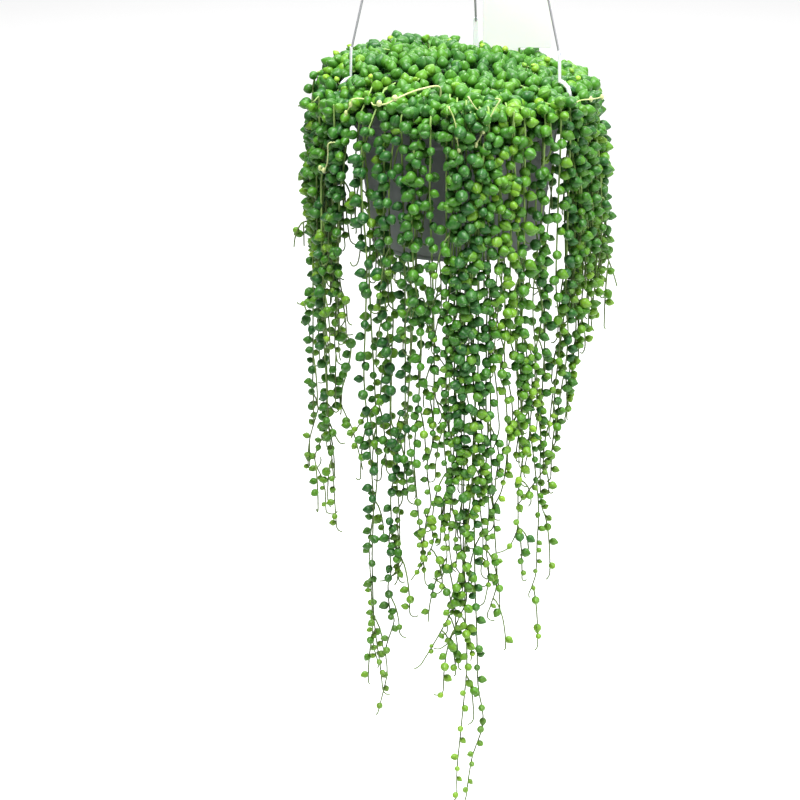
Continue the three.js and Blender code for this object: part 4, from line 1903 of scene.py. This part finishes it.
STRANDS = tuple(
    Strand(*row)
    for row in (
        (-40, 113, 470, 6), (-28, 113, 485, -8), (-17, 113, 370, 4), (-6, 113, 442, -10),
        (6, 113, 556, -6), (17, 113, 397, -6), (28, 113, 381, 2), (-45, 100, 120, -3),
        (-34, 100, 380, 2), (-22, 100, 330, 0), (-11, 100, 368, -8), (0, 100, 300, 0),
        (11, 100, 430, -6), (22, 100, 340, -4), (33, 100, 320, 0), (43, 100, 60, 0), (55, 113, 334, -24),
        (66, 113, 165, -14), (77, 113, 150, -6), (88, 113, 145, 0), (99, 113, 150, 4),
        (110, 113, 160, 0), (121, 113, 200, 0), (59, 101, 250, -4), (80, 101, 150, -4),
        (93, 101, 150, 0), (106, 101, 190, 0), (-55, 113, 190, -6), (-66, 113, 346, 0),
        (-77, 113, 312, -4), (-88, 113, 312, 0), (-99, 113, 226, 0), (-110, 113, 245, 0),
        (-121, 113, 235, 0), (-61, 101, 112, 0), (-83, 101, 190, 0), (-95, 101, 170, 0),
        (-107, 101, 125, 0), (134, 100, 300, 0), (146, 100, 210, 0), (157, 100, 260, 0),
        (181, 100, 350, 0), (193, 100, 240, 0), (205, 100, 310, 0), (217, 100, 200, 0),
        (151, 113, 340, 0), (163, 113, 190, 0), (175, 113, 280, 0), (187, 113, 220, 0),
        (199, 113, 370, 0), (211, 113, 260, 0),
    )
)

@dataclass(frozen=True)
class Trail:
    """A long stem measured on the photograph: its ring's radius in mm, its way in pixels, its look."""

    radius: float
    way: Outline
    warm_and_painted_light: float = 0.3
    girth: float = 1.0
    full: float = 1.0
    bare_tip: float = 6 * MM


TRAILS = (
    Trail(104, ((363, 122), (364, 144), (366, 169), (368, 193), (370, 242), (369, 272), (371, 320),
        (374, 375), (376, 419), (377, 479), (370, 538), (369, 549), (372, 608), (373, 642), (378, 662)),
        0.65, 0.85),
    Trail(112, ((384, 150), (384, 264), (386, 315), (391, 369), (391, 419), (397, 436), (397, 466),
        (391, 492), (391, 520), (389, 542), (391, 571), (388, 586), (390, 611), (394, 621), (386, 648),
        (387, 668), (386, 680), (378, 712)), 0.05, 1.05),
    Trail(108, ((402, 160), (405, 300), (405, 425), (403, 495), (397, 513), (400, 552), (402, 563),
        (392, 576)), 0.1, 0.95),
    Trail(114, ((414, 150), (416, 282), (418, 304), (421, 340), (419, 381), (433, 387), (436, 399),
        (441, 413)), 0.4, 0.9),
    Trail(116, ((430, 200), (434, 330), (433, 436), (427, 466), (431, 504), (425, 513), (431, 527),
        (433, 543), (424, 561), (412, 579)), 0.5, 0.85),
    Trail(118, ((458, 150), (458, 277), (456, 310), (450, 356), (442, 388)), 0.3),
    Trail(118, ((452, 262), (450, 290), (447, 320), (450, 350), (456, 395), (457, 430), (456, 470),
        (452, 500), (456, 525), (455, 545), (457, 555), (456, 567), (460, 575), (459, 590), (462, 601)),
        0.6, 0.9),
    Trail(119, ((461, 200), (460, 330), (461, 410), (462, 498), (460, 527), (463, 564), (466, 586),
        (466, 602), (459, 618), (450, 640), (443, 647)), 0.15, 1.1),
    Trail(116, ((463, 564), (460, 595), (447, 620), (436, 640), (422, 663)), 0.4, 0.8),
    Trail(119, ((484, 144), (482, 182), (479, 226), (477, 253), (478, 297), (473, 348), (476, 386),
        (475, 410), (472, 476), (474, 513), (475, 579), (477, 640), (478, 684), (483, 722), (472, 758),
        (466, 797)), 0.2, 0.95),
    Trail(120, ((470, 280), (471, 321), (467, 359), (466, 388), (471, 415), (473, 423), (474, 443),
        (473, 477), (475, 510), (475, 524)), 0.1, 1.15),
    Trail(118, ((484, 285), (487, 305), (490, 317), (491, 330), (492, 346), (493, 359), (495, 374),
        (497, 393), (498, 411), (499, 430), (493, 450)), 0.85, 0.8, 0.45),
    Trail(116, ((500, 180), (504, 250), (505, 337), (502, 356)), 0.6),
    Trail(119, ((499, 263), (501, 280), (504, 293), (505, 307), (505, 340), (501, 359), (501, 380),
        (505, 390), (507, 415), (508, 426), (507, 441), (507, 454), (505, 473), (501, 492), (493, 507)),
        0.8, 1.0),
    Trail(117, ((488, 200), (490, 330), (491, 454), (494, 520), (497, 579), (491, 604), (488, 612)), 0.35,
        0.95),
    Trail(118, ((524, 262), (523, 288), (522, 314), (517, 342), (518, 353), (521, 367), (522, 390),
        (522, 410), (522, 445), (523, 456), (520, 480), (518, 496), (518, 520), (516, 533), (508, 548),
        (497, 553)), 0.7, 1.05),
    Trail(117, ((514, 112), (514, 157), (517, 204), (520, 300), (527, 400), (538, 498), (537, 542),
        (536, 571), (533, 583), (529, 593)), 0.35, 0.8),
    Trail(119, ((510, 328), (519, 331), (525, 340), (530, 350), (532, 360), (532, 379), (532, 400),
        (530, 425), (528, 450), (524, 470)), 0.85),
    Trail(112, ((540, 250), (539, 279), (542, 305), (540, 330), (536, 349), (535, 380), (538, 410),
        (541, 440)), 0.5),
    Trail(110, ((550, 120), (551, 150), (541, 170), (536, 200), (537, 235), (541, 262), (545, 330),
        (541, 420), (541, 501), (550, 519)), 0.3),
    Trail(117, ((566, 300), (568, 330), (566, 362), (562, 385), (558, 410), (557, 437), (553, 447),
        (548, 461), (541, 474), (532, 486), (520, 502)), 0.1),
    Trail(118, ((486, 400), (488, 430), (486, 470), (489, 510), (486, 545), (489, 575), (485, 600)),
        0.35),
    Trail(117, ((478, 380), (481, 420), (483, 460), (480, 500), (483, 540), (481, 570)), 0.5),
    Trail(117, ((446, 400), (444, 440), (447, 480), (444, 520), (447, 556), (443, 575)), 0.55, 0.9),
    Trail(116, ((454, 440), (451, 500), (449, 540), (452, 566)), 0.3, 0.95),
    Trail(117, ((574, 290), (576, 325), (573, 360), (569, 395), (565, 418)), 0.7),
    Trail(115, ((556, 285), (560, 330), (557, 370), (552, 400), (549, 432)), 0.75),
    Trail(116, ((313, 340), (313, 365), (313, 390), (316, 399), (318, 408), (317, 413), (310, 438),
        (308, 460), (310, 470), (313, 470)), 0.25, 0.9),
    Trail(116, ((327, 379), (327, 395), (326, 415), (326, 429), (319, 445), (315, 456), (316, 465),
        (321, 476), (325, 490), (326, 510), (328, 513)), 0.5, 0.9),
    Trail(113, ((338, 240), (338, 276), (337, 301), (335, 333), (335, 347), (337, 360)), 0.3),
)


@dataclass(frozen=True)
class Spray:
    """A short stray shoot measured as a trail is, which grows from the nearest stem."""

    radius: float
    way: Outline
    bare_tip: float = 4 * MM
    warm_and_painted_light: float = 0.7
    start_age: float = 0.45


SPRAYS = (
    Spray(118, ((312, 103), (305, 104), (298, 106))),
    Spray(121, ((308, 221), (302, 223), (298, 229), (295, 238), (294, 247)), 14 * MM, 0.9),
    Spray(120, ((312, 170), (305, 173), (299, 178)), 3 * MM, 0.2),
    Spray(120, ((317, 301), (306, 303), (299, 304), (297, 302)), 6 * MM, 0.7),
    Spray(121, ((604, 200), (606, 225), (605, 243), (608, 258), (613, 272), (617, 286)), 26 * MM, 0.6,
        0.3),
    Spray(120, ((584, 280), (592, 283), (600, 280), (606, 282)), 9 * MM, 0.9),
    Spray(119, ((576, 296), (582, 306), (589, 312), (596, 313)), 3 * MM, 0.9),
    Spray(112, ((362, 148), (361, 175), (361, 210), (361, 240), (358, 262), (353, 266), (350, 262)),
        18 * MM, 0.2, 0.1),
    Spray(104, ((345, 333), (351, 348), (347, 372), (340, 398), (345, 413), (352, 428), (357, 445),
        (363, 470)), 16 * MM, 0.5, 0.25),
    Spray(115, ((326, 402), (335, 412), (339, 410)), 6 * MM),
    Spray(115, ((329, 422), (335, 435), (340, 443), (345, 443)), 12 * MM),
    Spray(113, ((390, 394), (378, 403), (366, 415), (356, 430), (351, 438)), 2 * MM, 0.8, 0.5),
    Spray(114, ((424, 300), (428, 330), (436, 352), (445, 366)), 3 * MM, 0.3, 0.3),
    Spray(117, ((460, 455), (456, 475), (448, 488), (443, 500), (441, 515)), 4 * MM, 0.6, 0.3),
    Spray(117, ((455, 562), (446, 569), (442, 575), (440, 573)), 4 * MM, 0.6),
    Spray(116, ((445, 560), (436, 580), (430, 603), (428, 622)), 8 * MM, 0.6),
    Spray(116, ((508, 330), (513, 350), (521, 366), (527, 392), (531, 410)), 8 * MM, 0.9, 0.3),
)

PALE_WAYS: tuple[tuple[float, Outline], ...] = (
    (117, ((500, 100), (495, 108), (489, 120), (482, 134), (476, 145))),
    (119, ((449, 108), (453, 116), (456, 127), (457, 139), (459, 150))),
    (122, ((329, 143), (328, 154), (327, 164), (323, 171), (320, 168))),
    (118, ((573, 103), (582, 100), (593, 99), (602, 97))),
    (117, ((353, 99), (350, 106), (346, 113))),
    (114, ((469, 98), (474, 106), (480, 113), (484, 118))),
)


@dataclass
class Curtain:
    """The trailing strands: each node's stem with its companions, side shoots and pearls.

    The ranges of the spacing, of the shoots' length and spread, and the outermost root are in millimetres,
    a stem's share of shoots is counted in its points, and the rest is in metres.
    """

    strings: StringTree
    sight: Sight
    crown: Crown
    step: float = 7 * MM
    side_shoots: float = 1.5
    pearl: float = 4.35 * MM
    tip: float = 2.4 * MM
    stem: float = 0.88 * MM
    spacing: Range = (9.4, 11.0)
    shoot_length: Range = (18, 55)
    shoot_spread: Range = (5, 13)
    shoot_from: Range = (0.25, 0.85)
    stem_per_shoot: float = 45
    shortest_parent: int = 16
    airy: float = 0.82
    sink: float = 1 * MM
    inset: float = 3 * MM
    tuck: float = 10 * MM
    tuck_depth: float = 22 * MM
    spread_depth: float = 50 * MM
    lead: Outline = ((24 * MM, -3 * MM), (12 * MM, 0.5 * MM))
    bare_over_rim: float = 26 * MM
    bare_elsewhere: float = 2 * MM
    outermost_root: float = 112

    def build(self, palette: Palette) -> None:
        """Makes one piece for each strand of the frame.

        Args:
            palette: The finishes.
        """
        for index, chains in enumerate(self._bundles()):
            node = f"strand_{index + 1:02d}"
            dice = random.Random(500 + index)
            shoots = [shoot for chain in chains for shoot in self._shoots(chain, dice)]
            piece = self.strings.grow(
                lay_chains([*chains, *shoots], f"{node}_lines"),
                f"{node}_pearls",
                palette,
                Spacing=dice.uniform(*self.spacing) * MM,
                Pearl_Radius=self.pearl,
                Tip_Radius=self.tip,
                Stem_Radius=self.stem,
                Lift=-0.3,
                Outward=1.1,
                Seed=index * 7,
            )
            mount(piece, "strand_pearls", node)

    def _bundles(self) -> list[list[Chain]]:
        """The long stems of each strand of the frame, and the stray shoots that grow from them.

        Returns:
            A list of stems for each strand.
        """
        bundles = []
        for index, strand in enumerate(STRANDS):
            dice = random.Random(900 + index)
            chains = [self._stem(strand, dice, strand.fall * MM, 2.0 * MM, Vector())]
            for depth in self._depths(strand, dice):
                chains.append(self._stem(strand, dice, depth, 3.5 * MM, self._apart(strand, dice)))
            bundles.append(chains)
        taken = set()
        for index, chain in self._measured():
            fall = RIM_HEIGHT - chain.points[-1].z
            if index not in taken and fall > 0.75 * STRANDS[index].fall * MM:
                bundles[index][0] = chain
                taken.add(index)
            else:
                bundles[index].append(chain)
        for spray in SPRAYS:
            places = [self.sight.hang(across, down, spray.radius * MM) for across, down in spray.way]
            index, root = self._nearest(bundles, places[0])
            line = smooth_line([root, *places], 5)
            bundles[index].append(Chain(line, spray.start_age, 1 * MM, spray.bare_tip, spray.warm_and_painted_light))
        return bundles

    @staticmethod
    def _nearest(bundles: list[list[Chain]], place: Vector) -> tuple[int, Vector]:
        """The point of any stem that is nearest to a place.

        Args:
            bundles: The stems of each strand.
            place: The place.

        Returns:
            The strand's index and the point.
        """
        stems = ((index, chain) for index, chains in enumerate(bundles) for chain in chains)
        spots = ((index, point) for index, chain in stems for point in chain.points)
        return min(spots, key=lambda spot: (spot[1] - place).length_squared)

    @staticmethod
    def _warmth_and_painted_light(strand: Strand, dice: random.Random) -> float:
        """How yellow-green a strand is, with painted light making the right-hand front strands yellower."""
        # Painted light: the right-hand front strands, on the lit side, are made yellower.
        painted_light = 0.22 if 0 < strand.bearing < 125 else 0.0
        return min(1.0, max(0.0, dice.gauss(0.3 + painted_light, 0.26)))

    @staticmethod
    def _depths(strand: Strand, dice: random.Random) -> list[float]:
        """How far the stems beside a strand fall: they cover the pot, and few of them pass its foot.

        Args:
            strand: The strand.
            dice: The source of chance.

        Returns:
            The depths of the companions' tips below the rim.
        """
        turn = abs(strand.bearing)
        if turn < 36:
            return [dice.uniform(60, 165) * MM]
        if turn < 48:
            return [dice.uniform(30, 80) * MM]
        if turn < 125:
            return [min(strand.fall, 165) * dice.uniform(0.35, 1.05) * MM for _ in range(4)]
        return [strand.fall * MM * dice.uniform(0.2, 0.8) for _ in range(2)]

    @staticmethod
    def _apart(strand: Strand, dice: random.Random) -> Vector:
        """A companion's shift from its strand, which keeps the rings' places clear.

        Args:
            strand: The strand.
            dice: The source of chance.

        Returns:
            The shift.
        """
        away = dice.uniform(-8, 1) if strand.outer else dice.uniform(-2, 7)
        return (strand.outward * away + strand.aside * dice.uniform(-7, 7)) * MM

    def _stem(
        self, strand: Strand, dice: random.Random, fall: float, reach: float, apart: Vector
    ) -> Chain:
        """One stem that follows a strand of the frame.

        Args:
            strand: The strand.
            dice: The source of chance.
            fall: How far its tip hangs below the rim.
            reach: How far it wanders.
            apart: Its shift from the strand's own line.

        Returns:
            Its middle line.
        """
        wander = Wander.drawn(dice, reach)
        inset = strand.outward * (-self.inset if strand.outer else 0.0)
        tuck = strand.outward * (-self.tuck if strand.outer else 0.0)
        count = max(4, round(fall / self.step))
        over_edge = strand.at(0.0) + Vector((0.0, 0.0, -self.sink)) + apart * 0.5 + inset + tuck
        line = [*self._lead_in(over_edge), over_edge]
        for i in range(1, count + 1):
            depth = fall * i / count
            settle = min(1.0, depth / self.spread_depth)
            aside = apart * (0.5 + 0.5 * settle) + tuck * math.exp(-depth / self.tuck_depth)
            line.append(strand.at(depth) + wander.at(depth) + aside + inset)
        full = self.airy if -100 < strand.bearing < -50 else 1.0
        bare = self._bare_root(line[0])
        chain = Chain(line, 0.0, bare, dice.uniform(2, 9) * MM, self._warmth_and_painted_light(strand, dice), 1.0, full)
        self._hook(chain, dice)
        return chain

    def _lead_in(self, over_edge: Vector) -> list[Vector]:
        """The start of a stem, which comes out of the mound and lies over its slope.

        Args:
            over_edge: Where the stem goes over the pot's edge.

        Returns:
            The points before that place.
        """
        outward = Vector((over_edge.x, over_edge.y, 0.0)).normalized()
        points = []
        for back, lift in self.lead:
            point = over_edge - outward * back
            point.z = RIM_HEIGHT + self.crown.height(point.x, point.y) + lift
            points.append(point)
        return [] if any(self.crown.covers_clip(point) for point in points) else points

    def _bare_root(self, start: Vector) -> float:
        """How long a stem is bare at its root: right over the rim where the crown leaves that bare."""
        return self.bare_over_rim if self.crown.over_bare_rim(start) else self.bare_elsewhere

    @staticmethod
    def _hook(chain: Chain, dice: random.Random) -> None:
        """Curls a stem's bare tip to one side.

        Args:
            chain: The stem.
            dice: The source of chance.
        """
        side = Vector((dice.choice((-1.0, 1.0)), dice.uniform(-0.6, 0.6), 0.0))
        chain.curl(side, dice.uniform(3, 9) * MM, dice.uniform(25, 120))

    def _shoots(self, parent: Chain, dice: random.Random) -> list[Chain]:
        """Short side shoots that leave a stem, droop and curl.

        Args:
            parent: The stem.
            dice: The source of chance.

        Returns:
            Their middle lines.
        """
        shoots = []
        whole = len(parent.points)
        wanted = int(self.side_shoots * whole / self.stem_per_shoot + dice.random())
        for _ in range(wanted if whole > self.shortest_parent else 0):
            start = parent.points[int(whole * dice.uniform(*self.shoot_from))]
            inward = Vector((-start.x, -start.y, 0.0)).normalized()
            tangent = Vector((-inward.y, inward.x, 0.0)) * dice.choice((-1.0, 1.0))
            side = (tangent + inward * dice.uniform(0.0, 0.5)).normalized()
            length = dice.uniform(*self.shoot_length) * MM
            spread = dice.uniform(*self.shoot_spread) * MM
            line = []
            steps = max(4, round(length / (6 * MM)))
            for step in range(steps + 1):
                share = step / steps
                out = spread * math.sin(share * math.pi / 2)
                line.append(start + side * out - Vector((0.0, 0.0, length * share**1.4)))
            shoot = Chain(line, 0.5, 2 * MM, dice.uniform(0, 4) * MM, dice.uniform(0.35, 1.0))
            shoot.curl(side * dice.choice((-1.0, 1.0)), dice.uniform(2.5, 6) * MM, dice.uniform(30, 150))
            shoots.append(shoot)
        return shoots

    def _measured(self) -> list[tuple[int, Chain]]:
        """The front stems measured on the photograph, with the strand that each belongs to.

        Returns:
            The strand's place in the list, and the stem.
        """
        dice = random.Random(31)
        stems = []
        for trail in TRAILS:
            places = [self.sight.hang(across, down, trail.radius * MM) for across, down in trail.way]
            top = places[0]
            bearing = math.degrees(math.atan2(top.x, -top.y))
            index = min(range(len(STRANDS)), key=lambda i: abs(STRANDS[i].bearing - bearing))
            depth = RIM_HEIGHT - top.z
            if depth > 25 * MM:
                root = around(bearing, min(trail.radius, self.outermost_root) * MM, RIM_HEIGHT + 3 * MM)
                places = [*self._lead_in(root), root, root * 0.5 + top * 0.5, *places]
            bare, line = self._bare_root(places[0]), smooth_line(places, 6)
            chain = Chain(line, 0.0, bare, trail.bare_tip, trail.warm_and_painted_light, trail.girth, trail.full)
            self._hook(chain, dice)
            stems.append((index, chain))
        return stems


@dataclass
class YoungShoot:
    """The pale young shoot that lies over the front of the crown, and the smaller ones about it."""

    sight: Sight
    way: tuple[tuple[float, float, float], ...] = (
        (-14, -85, 12), (-14, -85.4, 21), (-17, -88, 24.5), (-28.8, -95.8, 24.1), (-35.8, -97.6, 22.2),
        (-42.3, -100.4, 20.2), (-48.2, -102.2, 17.7), (-54, -102.7, 14.8), (-60, -101.6, 13.4),
        (-64.2, -99, 12.6), (-66, -96.6, 14.2),
    )
    radius: float = 0.9 * MM
    thin: float = 0.6 * MM
    bud: float = 2.2 * MM
    small_bud: float = 1.5 * MM
    buds: tuple[int, ...] = (6, 8)

    def build(self, palette: Palette) -> None:
        """Makes the shoot with its buds, and the other pale shoots about it.

        Args:
            palette: The finishes.
        """
        self._others(palette)
        places = [Vector(point) * MM + RIM for point in self.way]
        line = smooth_line(places, 6)
        radii = [self.radius * (1 - 0.5 * i / len(line)) for i in range(len(line))]
        shoot = Sculptor()
        shoot.sweep(line, radii, 10)
        for index in self.buds:
            shoot.ball(places[index] + Vector((0.0, 0.0, self.bud / 2)), self.bud, 1.15)
        mount(shoot.piece("young_shoot", palette.shoot), "young_shoot", "runner")

    def _others(self, palette: Palette) -> None:
        """Makes the other pale shoots, which rise out of the mound and hang over its edge.

        Args:
            palette: The finishes.
        """
        shoots = Sculptor()
        for radius, way in PALE_WAYS:
            places = [self.sight.hang(across, down, radius * MM) for across, down in way]
            inside = Vector((places[0].x * 0.9, places[0].y * 0.9, places[0].z - 2 * MM))
            line = smooth_line([inside, *places], 5)
            radii = [self.thin * (1 - 0.4 * i / len(line)) for i in range(len(line))]
            shoots.sweep(line, radii, 8)
            for index in (len(line) - 1, len(line) - 7):
                shoots.ball(line[index], self.small_bud, 1.5)
        mount(shoots.piece("pale_shoots", palette.shoot), "young_shoot")


def main() -> None:
    """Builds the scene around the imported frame."""
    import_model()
    palette, strings, mound = Palette(), StringTree(), MoundTree()
    sight, pot = Sight(), Pot()
    Studio(sight).build()
    pot.build(palette)
    Soil(pot).build(palette)
    Hanger(pot).build(palette)
    Label().build(palette)
    crown = Crown(strings, mound, sight)
    crown.build(palette)
    Curtain(strings, sight, crown).build(palette)
    YoungShoot(sight).build(palette)


if __name__ == "__main__":
    logging.basicConfig(level=logging.INFO, format="%(name)s: %(message)s")
    main()
